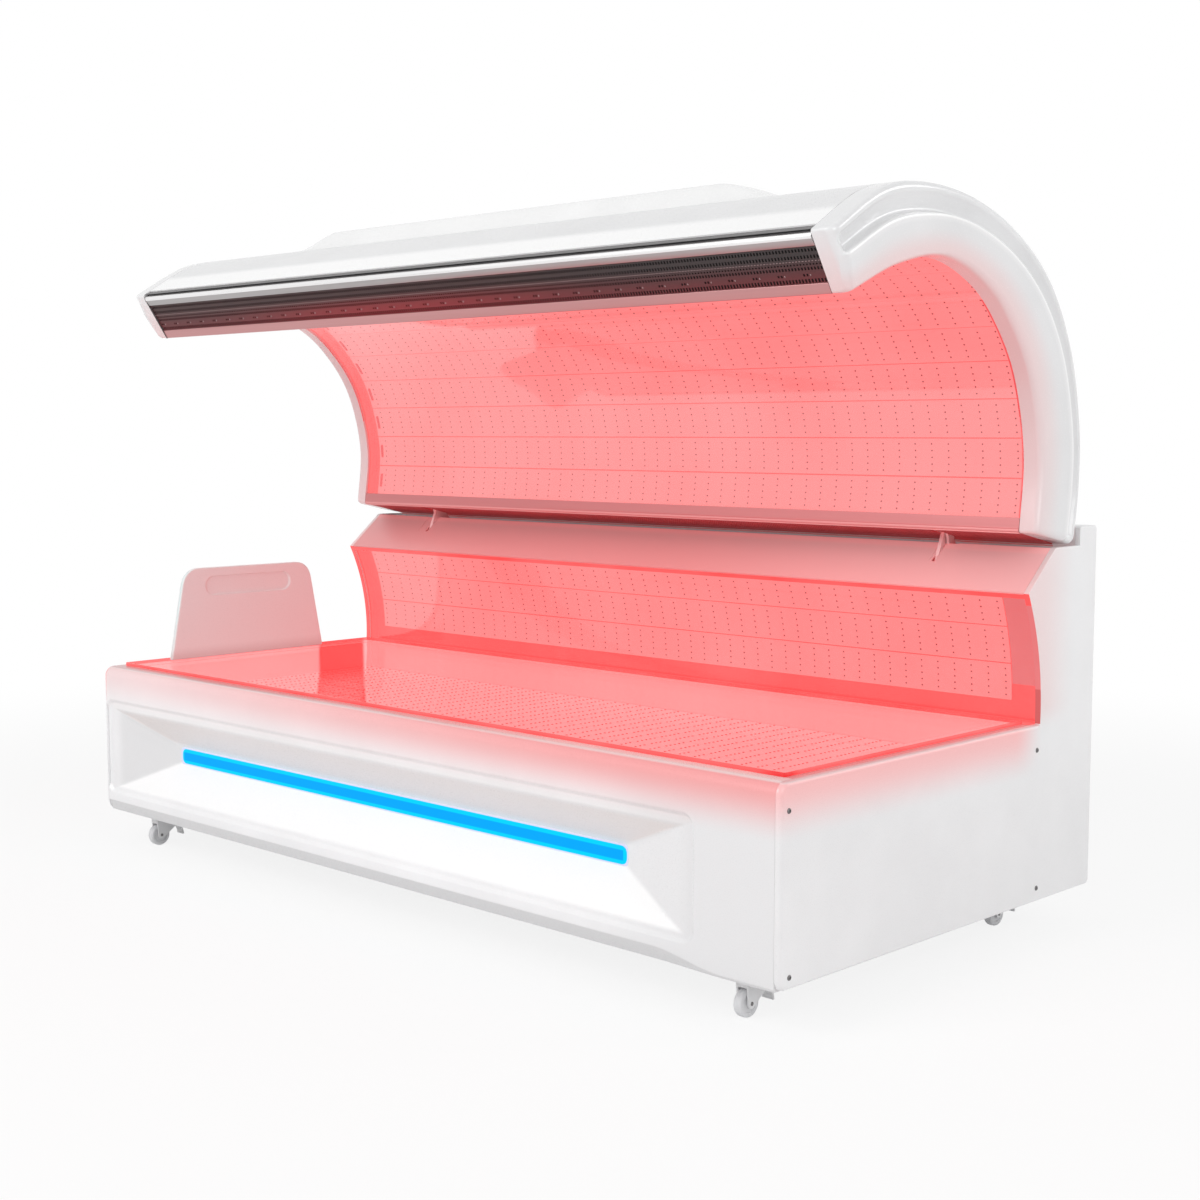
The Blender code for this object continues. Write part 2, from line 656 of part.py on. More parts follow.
def make_headboard():
    foot_z = DECK + 2 * GAP + BED_SHEET
    top_z = foot_z + HEADBOARD_HEIGHT
    half_top = HEADBOARD_TOP / 2 - HEADBOARD_CORNER
    middle = FRONT + HEADBOARD_FRONT + HEADBOARD_FOOT / 2
    points = [(middle - HEADBOARD_FOOT / 2, foot_z), (middle + HEADBOARD_FOOT / 2, foot_z)]
    for side in (-1, 1):
        points += circle((middle + side * half_top, top_z - HEADBOARD_CORNER), HEADBOARD_CORNER, 24)
    low_x = HEADBOARD_SETBACK - HALF - HEADBOARD_THICKNESS / 2
    high_x = low_x + HEADBOARD_THICKNESS
    board = prism("headboard", hull(points), low_x, high_x, "white_shell")
    grip_z = top_z - GRIP_DROP
    reach = (GRIP_LENGTH - GRIP_HEIGHT) / 2
    grip = hull([p for s in (-1, 1) for p in circle((middle + s * reach, grip_z), GRIP_HEIGHT / 2, 16)])
    cut(board, prism("grip_cutter", grip, high_x - GRIP_DEPTH, high_x + SHEET))


def ring_boxes(half_x, low_y, high_y, low_z, high_z, width):
    """Four bars round a rectangle in plan, overlapping at the corners."""
    return [
        ((-half_x, low_y, low_z), (half_x, low_y + width, high_z)),
        ((-half_x, high_y - width, low_z), (half_x, high_y, high_z)),
        ((-half_x, low_y, low_z), (-half_x + width, high_y, high_z)),
        ((half_x - width, low_y, low_z), (half_x, high_y, high_z)),
    ]


def frame_bars():
    """Bars of the welded frame: a lower ring, an upper ring, cross rails, legs and hinge posts."""
    wide = INSIDE - GAP
    low_y, high_y = FRONT + FRAME_FRONT, REAR - SHEET - GAP
    low_z, top = UNDER + PAN_DROP, DECK - SHEET - GAP
    wall, flange = FRAME_WALL, FRAME_FLANGE
    bars = ring_boxes(wide, low_y, high_y, low_z, low_z + wall, flange)
    bars += ring_boxes(wide, low_y, high_y, low_z, low_z + flange, wall)
    bars += ring_boxes(wide, DECK_FRONT, DECK_REAR, top - UPPER_RING, top, wall)
    bars += ring_boxes(wide, DECK_FRONT, DECK_REAR, top - wall, top, RIM_FRONT - wall)
    pitch = 2 * wide / (CROSS_RAILS + 1)
    for index in range(CROSS_RAILS):
        x = (index + 1) * pitch - wide
        low = (x - flange / 2, DECK_FRONT, SUPPORT_Z - wall)
        bars.append((low, (x + flange / 2, DECK_REAR, SUPPORT_Z)))
    post_y, post_top = ANCHOR_Y - POST / 2, TROUGH_Z - POST_DROP
    for side in (-1, 1):
        edge = sorted((side * wide, side * (wide - flange)))
        for y in (low_y, DECK_REAR - flange / 2):
            bars.append(((edge[0], y, low_z), (edge[1], y + wall, top)))
        post = sorted((side * POST_FACE, side * (POST_FACE - POST)))
        bars.append(((post[0], post_y, low_z), (post[1], post_y + 2 * wall, post_top)))
        bars.append(((post[0], post_y, low_z), (post[1], high_y, low_z + 2 * wall)))
        web = sorted((side * POST_FACE, side * (POST_FACE - wall)))
        bars.append(((web[0], post_y, low_z), (web[1], post_y + POST, post_top)))
    return bars


def make_frame():
    """The welded frame, with the struts' lower pins on its posts."""
    bars = frame_bars()
    frame = box("base_frame", *bars[0], "painted_steel")
    fuse(frame, *[box(f"frame_bar_{i}", low, high) for i, (low, high) in enumerate(bars[1:])])
    for side in (-1, 1):
        inner = side * (POST_FACE - FRAME_WALL / 2)
        outer = side * (STRUT_X + ROD_RADIUS + SIDE_GAP)
        ends = [(x, ANCHOR_Y, ANCHOR_Z) for x in (inner, outer)]
        fuse(frame, rod(f"anchor_pin_{side}", ROD_RADIUS, *ends))


def make_pan():
    low = (-INSIDE, FRONT + FOOT_CHAMFER + FOOT_RETURN + GAP, PAN_TOP - PAN)
    box("base_pan", low, (INSIDE, REAR - SHEET - GAP, PAN_TOP), "painted_steel")


def make_electrics():
    floor = PAN_TOP + GAP
    cases = (("power_supply", SUPPLY, -SUPPLY_LEFT), ("control_box", CONTROLLER, CONTROLLER_RIGHT))
    for name, size, x in cases:
        low = (x - size[0] / 2, -CASES_FORWARD - size[1] / 2, floor)
        case = box(name, low, (low[0] + size[0], low[1] + size[1], floor + size[2]), "case_aluminium")
        bevel(case, SHEET, 1)


def stud_at(angle):
    """Centre of the lever's stud with the canopy turned down by this angle."""
    c, s = math.cos(angle), math.sin(angle)
    return np.array([HINGE_Y + LEVER[0] * c - LEVER[1] * s, HINGE_Z + LEVER[0] * s + LEVER[1] * c])


def strut_drive():
    """Strut length and lean at rest, of the even drive that meets the linkage inside both limits."""
    span = math.radians(CLOSE_ANGLE)
    marks = [span / 2 * (1 + side * math.sqrt(0.5)) for side in (-1, 1)]
    reach = [stud_at(mark) - (ANCHOR_Y, ANCHOR_Z) for mark in marks]
    lengths = [math.hypot(*r) for r in reach]
    leans = [math.atan2(*r) for r in reach]
    share = marks[0] / (marks[1] - marks[0])
    return lengths[0] - share * (lengths[1] - lengths[0]), leans[0] - share * (leans[1] - leans[0])


def stations(low=0.0, high=1.0):
    """The canopy shell's stations between two shares."""
    shares = np.linspace(0, 1, CANOPY_STATIONS)
    return shares[(shares >= low) & (shares <= high)]


def make_hinges():
    """Bracket plates on the frame posts with their pins, and the canopy's arms with the strut levers."""
    axis = (HINGE_Y, HINGE_Z)
    foot_z, nose_z = TROUGH_Z - BRACKET_FOOT, TROUGH_Z - BRACKET_FOOT / 7
    near, far = ANCHOR_Y - POST / 2, ANCHOR_Y + POST / 2
    corners = [(CREST_Y - BRACKET_NOSE, nose_z), (far, nose_z), (near, foot_z), (far, foot_z)]
    plate = hull(circle(axis, KNUCKLE_RADIUS) + corners)
    shell_line = [tuple(canopy_outside(share, SHEET + GAP)) for share in stations(*ARM_SHARES)]
    arm_plate = hull(circle(axis, KNUCKLE_RADIUS) + shell_line)
    stud = stud_at(0.0)
    lever = hull(circle(axis, LEVER_ROOT) + circle(stud, LEVER_TIP))
    for name, side in (("left", -1), ("right", 1)):
        x, middle = side * HINGE_X, side * ARM_X
        bracket = prism(f"{name}_hinge_bracket", plate, x - BRACKET / 2, x + BRACKET / 2, "painted_steel")
        pin_end = side * (ARM_X + ARM / 2 + PIN_PROUD)
        fuse(bracket, rod(f"{name}_hinge_pin", HINGE_PIN, (x, *axis), (pin_end, *axis), 24))
        ends = (middle - ARM / 2, middle + ARM / 2)
        arm = prism(f"{name}_hinge_arm", arm_plate, *ends, "painted_steel")
        fuse(arm, prism(f"{name}_lever", lever, *ends))
        stud_end = side * (STRUT_X + ROD_RADIUS + SIDE_GAP)
        fuse(arm, rod(f"{name}_stud", STUD_RADIUS, (middle, *stud), (stud_end, *stud)))
        cut(arm, rod(f"{name}_hinge_bore", HINGE_PIN + RUNNING, (x, *axis), (pin_end, *axis), 24))


def strut_barrel(name):
    """Strut cylinder, upright over its lower pin, with its helpers."""
    barrel = rod(f"{name}_strut_cylinder", STRUT_RADIUS, (0, 0, ROD_RADIUS), (0, 0, STRUT_LENGTH), 20,
                 "painted_steel")
    lug = prism(f"{name}_strut_lug", circle((0, 0), STRUT_RADIUS), -STRUT_EYE / 2, STRUT_EYE / 2)
    bore_ends = ((0, 0, STRUT_BORE_FLOOR), (0, 0, STRUT_LENGTH + STRUT_EYE))
    bore = rod(f"{name}_strut_bore", ROD_RADIUS + ROD_PLAY, *bore_ends)
    pin = rod(f"{name}_pin_bore", ROD_RADIUS + RUNNING, (-2 * STRUT_EYE, 0, 0), (2 * STRUT_EYE, 0, 0))
    cut(fuse(barrel, lug), bore, pin)
    return [barrel, lug, bore, pin]


def strut_rod(name, length):
    """Strut rod with the wide eye that rides on the lever's stud."""
    hole = STUD_RADIUS + ROD_EYE_PLAY
    tip = length - hole - EYE_WALL / 2
    stem = rod(f"{name}_strut_rod", ROD_RADIUS, (0, 0, ROD_TAIL), (0, 0, tip), 16, "strut_steel")
    eye = prism(f"{name}_rod_eye", circle((0, length), hole + EYE_WALL), -STRUT_EYE / 2, STRUT_EYE / 2)
    bore = rod(f"{name}_eye_bore", hole, (-2 * STRUT_EYE, 0, length), (2 * STRUT_EYE, 0, length), 24)
    cut(fuse(stem, eye), bore)
    return [stem, eye, bore]


def make_struts():
    """Traction gas struts that pull the levers down. Each is built upright, then leant."""
    length, lean = strut_drive()
    for name, side in (("left", -1), ("right", 1)):
        for obj in strut_barrel(name) + strut_rod(name, length):
            obj.location = (side * STRUT_X, ANCHOR_Y, ANCHOR_Z)
            obj.rotation_euler.x = -lean


def share_of(distance, run):
    """Share of a canopy outline that this length from the lip covers."""
    return distance / run[-1]


def make_canopy_shells():
    def under_side(share):
        return canopy_outside(share, SHEET)

    def behind(share):
        return canopy_inside(share, CANOPY_SHEET)

    shell = canopy_layer("canopy_shell", stations(), under_side, canopy_outside, "white_shell")
    middle = HINGE_Y + FAN_Y
    crown = outer_top_z(middle)
    ends = [(0, middle, crown + side * FAN_SIDE / 2) for side in (-1, 1)]
    cut(shell, rod("fan_hole", FAN_BLADE_RADIUS, *ends, 24))
    low = share_of(RAIL_DEPTH + SHEET_PLAY, INNER_RUN)
    high = 1 - share_of(BOTTOM_RAIL + SHEET_PLAY, INNER_RUN)
    canopy_layer("canopy_acrylic", np.linspace(low, high, 27), canopy_inside, behind, "clear_acrylic")


def make_canopy_boards():
    """Light boards behind the clear sheet, each with a groove between its two strips."""
    low = share_of(RAIL_DEPTH + STRIP_START, INNER_RUN)
    high = 1 - share_of(STRIP_END, INNER_RUN)
    pitch = (high - low) / CANOPY_BOARDS
    space = share_of(STRIP_SPACE, INNER_RUN)

    def far(share):
        return canopy_inside(share, STRIP_DEPTH + STRIP)

    for index in range(CANOPY_BOARDS):
        start, stop = low + index * pitch, low + (index + 1) * pitch
        middle = (start + stop) / 2

        def near(share, middle=middle):
            sunk = STRIP_GROOVE if abs(share - middle) < space / 2 else 0.0
            return canopy_inside(share, STRIP_DEPTH + sunk)

        bends = [(start + middle) / 2, middle - space, middle - space / 3]
        mirrored = [start + stop - bend for bend in bends[::-1]]
        shares = [start + space / 2, *bends, *mirrored, stop - space / 2]
        canopy_layer(f"canopy_led_board_{index + 1}", shares, near, far, "light_board")


def make_front_edge():
    """Rails and perforated grille that close the canopy's front, under the shell's lip."""
    face = float(np.linalg.norm(canopy_outside(0) - canopy_inside(0)))
    upper, lower = SHEET + GROOVE, face - LOWER_RAIL
    deep = (0.0, RAIL_DEPTH)
    thin = (EDGE_SUNK, EDGE_SUNK + GRILLE)
    for name, reach, near, far, finish in (
        ("front_upper_rail", deep, upper, upper + UPPER_RAIL, "aluminium_rail"),
        ("front_grille", thin, upper + UPPER_RAIL + GAP, lower - GAP, "dark_grille"),
        ("front_lower_rail", deep, lower, face, "aluminium_rail"),
    ):
        shares = [share_of(distance, INNER_RUN) for distance in reach]
        canopy_layer(name, shares, lambda t: canopy_outside(t, near),
                     lambda t: canopy_outside(t, far), finish)


def make_heel_edge():
    """Rail at the foot of the arch, and the grille that closes the heel, with slots for the hinges."""
    rail = np.linspace(1 - share_of(BOTTOM_RAIL, INNER_RUN), 1, 4)
    back = BOTTOM_RAIL_THICKNESS
    canopy_layer("bottom_rail", rail, canopy_inside, lambda t: canopy_inside(t, back), "aluminium_rail")
    heel = [1 - share_of(distance, INNER_RUN) for distance in (EDGE_SUNK + GRILLE, EDGE_SUNK)]
    grille = canopy_layer("bottom_grille", heel, lambda t: canopy_inside(t, back + GAP),
                          lambda t: canopy_outside(t, SHEET + GAP), "dark_grille")
    half = HINGE_SLOT / 2
    for side in (-1, 1):
        x = side * (HINGE_X + HINGE_SLOT_OFFSET)
        low = (x - half, HINGE_Y - 2 * KNUCKLE_RADIUS - BRACKET_NOSE, HINGE_Z - HINGE_SLOT)
        high = (x + half, HINGE_Y + 2 * KNUCKLE_RADIUS, HINGE_Z + HINGE_SLOT)
        cut(grille, box(f"grille_slot_{side}", low, high))


def make_end_caps():
    """Caps that close the canopy's ends: a rounded rim, then a broad band that slopes into the arch."""
    for name, side in (("left", -1), ("right", 1)):
        seam, end, edge = side * SEAM_X, side * CANOPY_END, side * CAP_EDGE

        def solid(share):
            return [
                (seam, canopy_outside(share)), (end - edge, canopy_outside(share)),
                (end - 0.3 * edge, canopy_outside(share, 0.3 * CAP_EDGE)),
                (end, canopy_outside(share, CAP_EDGE)), (end, canopy_inside(share, CAP_BEVEL)),
                (end - side * CAP_BEVEL_DEPTH, canopy_inside(share)), (seam, canopy_inside(share)),
            ]

        def hollow(share):
            ends = (seam - side * CAP_WALL, end - 1.6 * side * CAP_WALL)
            near, far = canopy_inside(share, CAP_FLANGE), canopy_outside(share, CAP_WALL)
            return [(ends[0], near), (ends[0], far), (ends[1], far), (ends[1], near)]

        cap = canopy_sweep(f"canopy_{name}_end_cap", stations(), solid, "white_shell")
        wall = share_of(CAP_WALL, INNER_RUN)
        cut(cap, canopy_sweep(f"{name}_cap_hollow", np.linspace(wall, 1 - wall, 25), hollow))


def smooth(value):
    value = np.clip(value, 0.0, 1.0)
    return value * value * (3 - 2 * value)


def outer_top_z(y):
    """Height of the canopy's outer face over a place near its crown."""
    crown = OUTER_CURVE[: int(np.argmax(OUTER_CURVE[:, 0]))]
    return float(np.interp(y - HINGE_Y, crown[:, 0], crown[:, 1])) + HINGE_Z


def make_top_housing():
    """Raised housing on the crown: it follows the shell and ramps up from it on all four sides."""
    ys = np.linspace(HOUSING_FRONT, HOUSING_REAR, 22) + HINGE_Y
    base = np.array([outer_top_z(y) for y in ys]) + GAP
    rise_y = smooth((ys - ys[0]) / HOUSING_SLOPE) * smooth((ys[-1] - ys) / HOUSING_SLOPE)
    ramp = np.linspace(0, HOUSING_RAMP, 6)
    xs = np.concatenate([ramp - HOUSING_HALF, [0.0], HOUSING_HALF - ramp[::-1]])
    loops = []
    for x in xs:
        lift = HOUSING_HEIGHT * rise_y * smooth((HOUSING_HALF - abs(x)) / HOUSING_RAMP)
        under = [(x, y, z) for y, z in zip(ys, base + lift)]
        over = [(x, y, z) for y, z in zip(ys, base + lift + HOUSING_WALL)]
        loops.append(under + over[::-1])
    housing = loft("canopy_top_housing", loops, "white_shell")
    vent_y = ys[-1] - HOUSING_SLOPE / 2
    vent_z = outer_top_z(vent_y) + HOUSING_HEIGHT / 2
    for index in range(VENTS):
        x = (index - (VENTS - 1) / 2) * VENT_PITCH
        low = (x - VENT[0] / 2, vent_y - HOUSING_SLOPE / 2, vent_z - VENT[1] / 2)
        high = (x + VENT[0] / 2, vent_y + HOUSING_SLOPE, vent_z + VENT[1] / 2)
        cut(housing, box(f"vent_{index}", low, high))


def fan_seat():
    """Middle and underside of the fan, which rests on the shell's crown."""
    y = HINGE_Y + FAN_Y
    reach = np.linspace(y - FAN_SIDE / 2, y + FAN_SIDE / 2, 25)
    return y, max(outer_top_z(place) for place in reach) + GAP


def make_fan_frame():
    """Square fan frame with a round bore, a spider across it, and the rotor's axle."""
    y, seat = fan_seat()
    half, arm, reach = FAN_SIDE / 2, FAN_SPIDER, FAN_BORE + FAN_SPIDER
    frame = box("fan_frame", (-half, -half, 0), (half, half, FAN_THICKNESS), "black_plastic")
    bore = rod("fan_bore", FAN_BORE, (0, 0, -half), (0, 0, half), 32)
    across = box("fan_spider_x", (-reach, -arm, 0), (reach, arm, arm))
    along = box("fan_spider_y", (-arm, -reach, 0), (arm, reach, arm))
    boss = rod("fan_boss", FAN_HUB, (0, 0, 0), (0, 0, arm), 20)
    axle = rod("fan_axle", FAN_AXLE, (0, 0, 0), (0, 0, FAN_THICKNESS - 2 * FAN_SPIDER), 16)
    fuse(cut(frame, bore), across, along, boss, axle)
    for obj in (frame, bore, across, along, boss, axle):
        obj.location = (0, y, seat)


def make_fan_rotor():
    """Hub with pitched blades, bored for the axle from below."""
    y, seat = fan_seat()
    low, high = FAN_SPIDER + RUNNING, FAN_THICKNESS - FAN_SPIDER
    rotor = rod("fan_rotor", FAN_HUB, (0, 0, low), (0, 0, high), 20, "black_plastic")
    root, half = FAN_HUB - FAN_SPIDER, BLADE_CHORD / 2
    blades = []
    for index in range(FAN_BLADES):
        blade = box(f"fan_blade_{index}", (root, -BLADE / 2, -half), (FAN_BLADE_RADIUS, BLADE / 2, half))
        blade.rotation_euler = (math.radians(BLADE_PITCH), 0.0, 2 * math.pi * index / FAN_BLADES)
        blade.location = (0, y, seat + (low + high) / 2)
        blades.append(blade)
    bore_top = FAN_THICKNESS - 2 * FAN_SPIDER + RUNNING
    bore = rod("rotor_bore", FAN_AXLE + RUNNING, (0, 0, -low), (0, 0, bore_top), 16)
    for obj in (rotor, bore):
        obj.location = (0, y, seat)
    cut(fuse(rotor, *blades), bore)


def make_fork(name):
    """Swivel fork: a round head, a crown, two cheeks, the wheel's axle and the pedal's pin."""
    head_top = PAN_TOP - PAN - GAP
    crown_low = 2 * WHEEL_RADIUS + CROWN_CLEARANCE
    rear, nose = -TRAIL - CROWN_REAR, PEDAL_PIVOT + CHEEK_NOSE
    head_ends = ((0, 0, head_top - HEAD_HEIGHT), (0, 0, head_top))
    fork = rod(f"{name}_fork", HEAD_RADIUS, *head_ends, 24, "caster_plastic")
    crown_high = UNDER - SWIVEL_CLEARANCE
    pieces = [box(f"{name}_crown", (-CHEEK_OUT, rear, crown_low), (CHEEK_OUT, nose, crown_high))]
    axle, pivot = (-TRAIL, WHEEL_RADIUS), (PEDAL_PIVOT, PEDAL_PIVOT_RISE)
    top = crown_low + CHEEK_NOSE
    outline = hull(circle(axle, CHEEK_BOSS, 16) + circle(pivot, CHEEK_NOSE, 16) + [(rear, top), (nose, top)])
    for side in (-1, 1):
        ends = sorted((side * CHEEK_IN, side * CHEEK_OUT))
        pieces.append(prism(f"{name}_cheek_{side}", outline, *ends))
    reach = (CHEEK_IN + CHEEK_OUT) / 2
    pieces.append(rod(f"{name}_axle", AXLE_RADIUS, (-reach, *axle), (reach, *axle)))
    pieces.append(rod(f"{name}_pedal_pin", PEDAL_PIN, (-reach, *pivot), (reach, *pivot), 12))
    fuse(fork, *pieces)
    return [fork, *pieces]


def make_wheel(name):
    """Wheel with a rounded tread and a plain bore."""
    half, bore = WHEEL_WIDTH / 2, AXLE_RADIUS + RUNNING
    section = [(bore, half)]
    for degrees in (90, 45, 15, -15, -45, -90):
        c, s = math.cos(math.radians(degrees)), math.sin(math.radians(degrees))
        shoulder = math.copysign(half - WHEEL_ROUND, s)
        section.append((WHEEL_RADIUS - WHEEL_ROUND + WHEEL_ROUND * c, shoulder + WHEEL_ROUND * s))
    section.append((bore, -half))
    return ring_section(f"{name}_wheel", section, 24, "wheel_tread")


def make_pedal(name):
    """Brake pedal: a knuckle on the fork's pin, and a curved tread that reaches down towards the floor."""
    reach, half = PEDAL_REACH - PEDAL_PIVOT, PEDAL_WIDTH / 2
    arc = np.radians((0, 20, 40, 60, 78, 90))
    line = [(reach * math.sin(a), PEDAL_DROP * (math.cos(a) - 1)) for a in arc]
    pedal = prism(f"{name}_pedal", thickened(line, PEDAL_PLATE), -half, half, "caster_plastic")
    inner = CHEEK_IN - RUNNING
    knuckle = PEDAL_PIN + RUNNING + PEDAL_WALL
    barrel = prism(f"{name}_pedal_knuckle", circle((0, 0), knuckle, 16), -inner, inner)
    bore = rod(f"{name}_pedal_bore", PEDAL_PIN + RUNNING, (-2 * half, 0, 0), (2 * half, 0, 0), 12)
    relief = []
    for side in (-1, 1):
        ends = sorted((side * inner, side * 2 * half))
        low, high = (ends[0], -PEDAL_DROP, -PEDAL_DROP), (ends[1], PEDAL_NECK, PEDAL_DROP)
        relief.append(box(f"{name}_pedal_relief_{side}", low, high))
    cut(fuse(pedal, barrel), bore, *relief)
    return [pedal, barrel, bore, *relief]


def make_casters():
    for end, x in (("left", CASTER_SETBACK - HALF), ("right", HALF - CASTER_SETBACK)):
        for row, y in (("front", FRONT + CASTER_FRONT), ("rear", REAR - CASTER_REAR)):
            name = f"{row}_{end}_caster"
            for obj in make_fork(name):
                obj.location = (x, y, 0)
            make_wheel(name).location = (x, y - TRAIL, WHEEL_RADIUS)
            for obj in make_pedal(name):
                obj.location = (x, y + PEDAL_PIVOT, PEDAL_PIVOT_RISE)


def main():
    clear_scene()
    make_frame()
    make_pan()
    make_end_panels()
    make_fascia()
    make_front_light()
    make_rear_panel()
    make_inlet()
    make_ledge_cover()
    make_deck()
    make_back_light()
    make_headboard()
    make_electrics()
    make_hinges()
    make_struts()
    make_canopy_shells()
    make_canopy_boards()
    make_front_edge()
    make_heel_edge()
    make_end_caps()
    make_top_housing()
    make_fan_frame()
    make_fan_rotor()
    make_casters()


main()
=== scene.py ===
import math

import bmesh
import bpy
import numpy as np
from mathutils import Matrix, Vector


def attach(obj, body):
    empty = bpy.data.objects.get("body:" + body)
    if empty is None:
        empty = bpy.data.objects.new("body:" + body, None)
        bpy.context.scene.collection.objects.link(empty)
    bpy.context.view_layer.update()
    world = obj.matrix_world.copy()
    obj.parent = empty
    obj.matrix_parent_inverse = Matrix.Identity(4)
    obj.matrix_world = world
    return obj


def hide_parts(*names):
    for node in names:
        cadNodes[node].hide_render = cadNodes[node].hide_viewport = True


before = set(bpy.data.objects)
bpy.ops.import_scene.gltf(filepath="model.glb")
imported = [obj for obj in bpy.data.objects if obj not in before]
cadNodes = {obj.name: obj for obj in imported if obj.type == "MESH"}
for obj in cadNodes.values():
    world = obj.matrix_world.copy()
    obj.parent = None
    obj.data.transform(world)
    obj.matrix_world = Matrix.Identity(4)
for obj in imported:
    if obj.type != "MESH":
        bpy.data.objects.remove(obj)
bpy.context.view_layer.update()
print("frame loaded:", len(cadNodes), "solids")


# Finishes

finishSet = {
    "drift": (0.3, 0.7),  # part of the noise that a tone follows
    "fine": (0.25, 0.75),  # part of the grain that the roughness follows
    "roughSpread": 0.06,
    "lift": 0.0004,  # height of the grain
    "coatRough": 0.08,
    "glowBase": (0.10, 0.02, 0.02, 1.0),
    "clearTint": (1.0, 0.95, 0.95, 1.0),
    "mirrorTint": (0.98, 0.86, 0.86, 1.0),
    "mirrorRough": (0.03, 0.03 * 2.2),
    "smear": 9.0,  # scale of the drift in a mirror's roughness
    "bareLoss": 0.8,  # share of the mirror lost inside a painted reflection patch
    # colour of the painted red light on white plastic
    "spillRed": (255, 90, 90),
}


def srgb(red, green, blue):  # screen values 0 to 255 turned into linear light
    c = np.array([red, green, blue]) / 255.0
    return tuple(np.where(c <= 0.04045, c / 12.92, ((c + 0.055) / 1.055) ** 2.4)) + (1.0,)


class Finish:  # nodes of a new material, or of the world, and the kinds of node that finishes are made of
    def __init__(self, name, tree=None):
        if tree is None:
            self.made = bpy.data.materials.new(name)
            self.made.use_nodes = True
            tree = self.made.node_tree
        self.nodes, self.links = tree.nodes, tree.links
        self.shader = self.nodes.get("Principled BSDF")

    def wire(self, node, values):  # each socket gets a link or a value
        for key, value in values.items():
            if isinstance(value, bpy.types.NodeSocket):
                self.links.new(value, node.inputs[key])
            else:
                node.inputs[key].default_value = value
        return node

    def add(self, kind, values=None, **fields):  # a new node with its fields and sockets set
        node = self.nodes.new("ShaderNode" + kind)
        for key, value in fields.items():
            setattr(node, key, value)
        return self.wire(node, values or {})

    def place(self):  # Object coordinates
        return self.add("TexCoord").outputs["Object"]

    def noise(self, scale, stretch=(1, 1, 1), detail=3.0):  # noise over Object coordinates, stretched
        turn = self.add("Mapping", {"Vector": self.place(), "Scale": stretch})
        grain = self.add("TexNoise", {"Vector": turn.outputs["Vector"], "Scale": scale, "Detail": detail})
        return grain.outputs["Fac"]

    def ranged(self, value, low, high, outLow, outHigh, way="LINEAR"):  # one range carried to another
        values = {"Value": value, "From Min": low, "From Max": high, "To Min": outLow, "To Max": outHigh}
        return self.add("MapRange", values, interpolation_type=way).outputs["Result"]

    def mix(self, share, first, second):  # first colour turning into the second as share goes 0 to 1
        return self.add("Mix", {0: share, 6: first, 7: second}, data_type="RGBA").outputs[2]

    def maths(self, kind, first, second=0.0):  # one sum of two values
        return self.add("Math", {0: first, 1: second}, operation=kind).outputs[0]

    # Product of smooth steps: (axis or weights of X, Y and Z, from, to, value at from, value at to)
    def zone(self, edges):
        axes = self.add("SeparateXYZ", {0: self.place()}).outputs
        total = None
        for axis, low, high, outLow, outHigh in edges:
            if isinstance(axis, tuple):
                x, y, z = (self.maths("MULTIPLY", axes[k], axis[k]) for k in range(3))
                at = self.maths("ADD", self.maths("ADD", x, y), z)
            else:
                at = axes[axis]
            part = self.ranged(at, low, high, outLow, outHigh, "SMOOTHSTEP")
            total = self.maths("MULTIPLY", total, part) if total else part
        return total

    def tint(self, share, colour, socket="Base Color"):  # a colour turned towards a tint as share goes 0 to 1
        target = self.shader.inputs[socket]
        first = target.links[0].from_socket if target.links else tuple(target.default_value)
        self.links.new(self.mix(share, first, colour), target)
        return share

    def tintZone(self, colour, *edges, socket="Base Color"):  # the same inside a zone
        return self.tint(self.zone(edges), srgb(*colour), socket)

    def show(self, share, first, second, end="Material Output"):  # first shader turning into the second
        mix = self.add("MixShader", {0: share, 1: first.outputs[0], 2: second.outputs[0]})
        self.links.new(mix.outputs[0], self.nodes[end].inputs["Surface"])

    def seen(self):  # 1 for rays from the camera, mirrors and clear sheets, 0 for those that carry light
        ray = self.add("LightPath").outputs
        through = self.maths("MAXIMUM", ray["Is Glossy Ray"], ray["Is Transmission Ray"])
        return self.maths("MAXIMUM", ray["Is Camera Ray"], through)


def solidFinish(name, colour, rough, metal=0.0, tone=0.03, toneScale=5.0, grain=600.0, stretch=(1, 1, 1),
                bump=0.05, coat=0.0):  # tone and roughness drift with noise, grain lifts the surface
    f, spread = Finish(name), finishSet["roughSpread"]
    darker = tuple(c * (1 - 2 * tone) for c in colour[:3]) + (1.0,)
    drift = f.ranged(f.noise(toneScale, stretch), *finishSet["drift"], 0, 1)
    fine = f.noise(grain, stretch, 2.0)
    lift = f.add("Bump", {"Strength": bump, "Distance": finishSet["lift"], "Height": fine})
    f.wire(f.shader, {
        "Base Color": f.mix(drift, darker, colour), "Normal": lift.outputs["Normal"], "Metallic": metal,
        "Roughness": f.ranged(fine, *finishSet["fine"], rough - spread, rough + spread),
        "Coat Weight": coat, "Coat Roughness": finishSet["coatRough"]})
    return f


def glowFinish(name, colour, second, strength=1.0, scale=3.0, base=finishSet["glowBase"], rough=0.4):
    f = Finish(name)  # emission drifts between two tones
    drift = f.ranged(f.noise(scale), *finishSet["drift"], 0, 1)
    tone = f.mix(drift, srgb(*colour), srgb(*second))
    f.wire(f.shader, {"Emission Color": tone, "Emission Strength": strength,
                      "Base Color": base, "Roughness": rough})
    return f


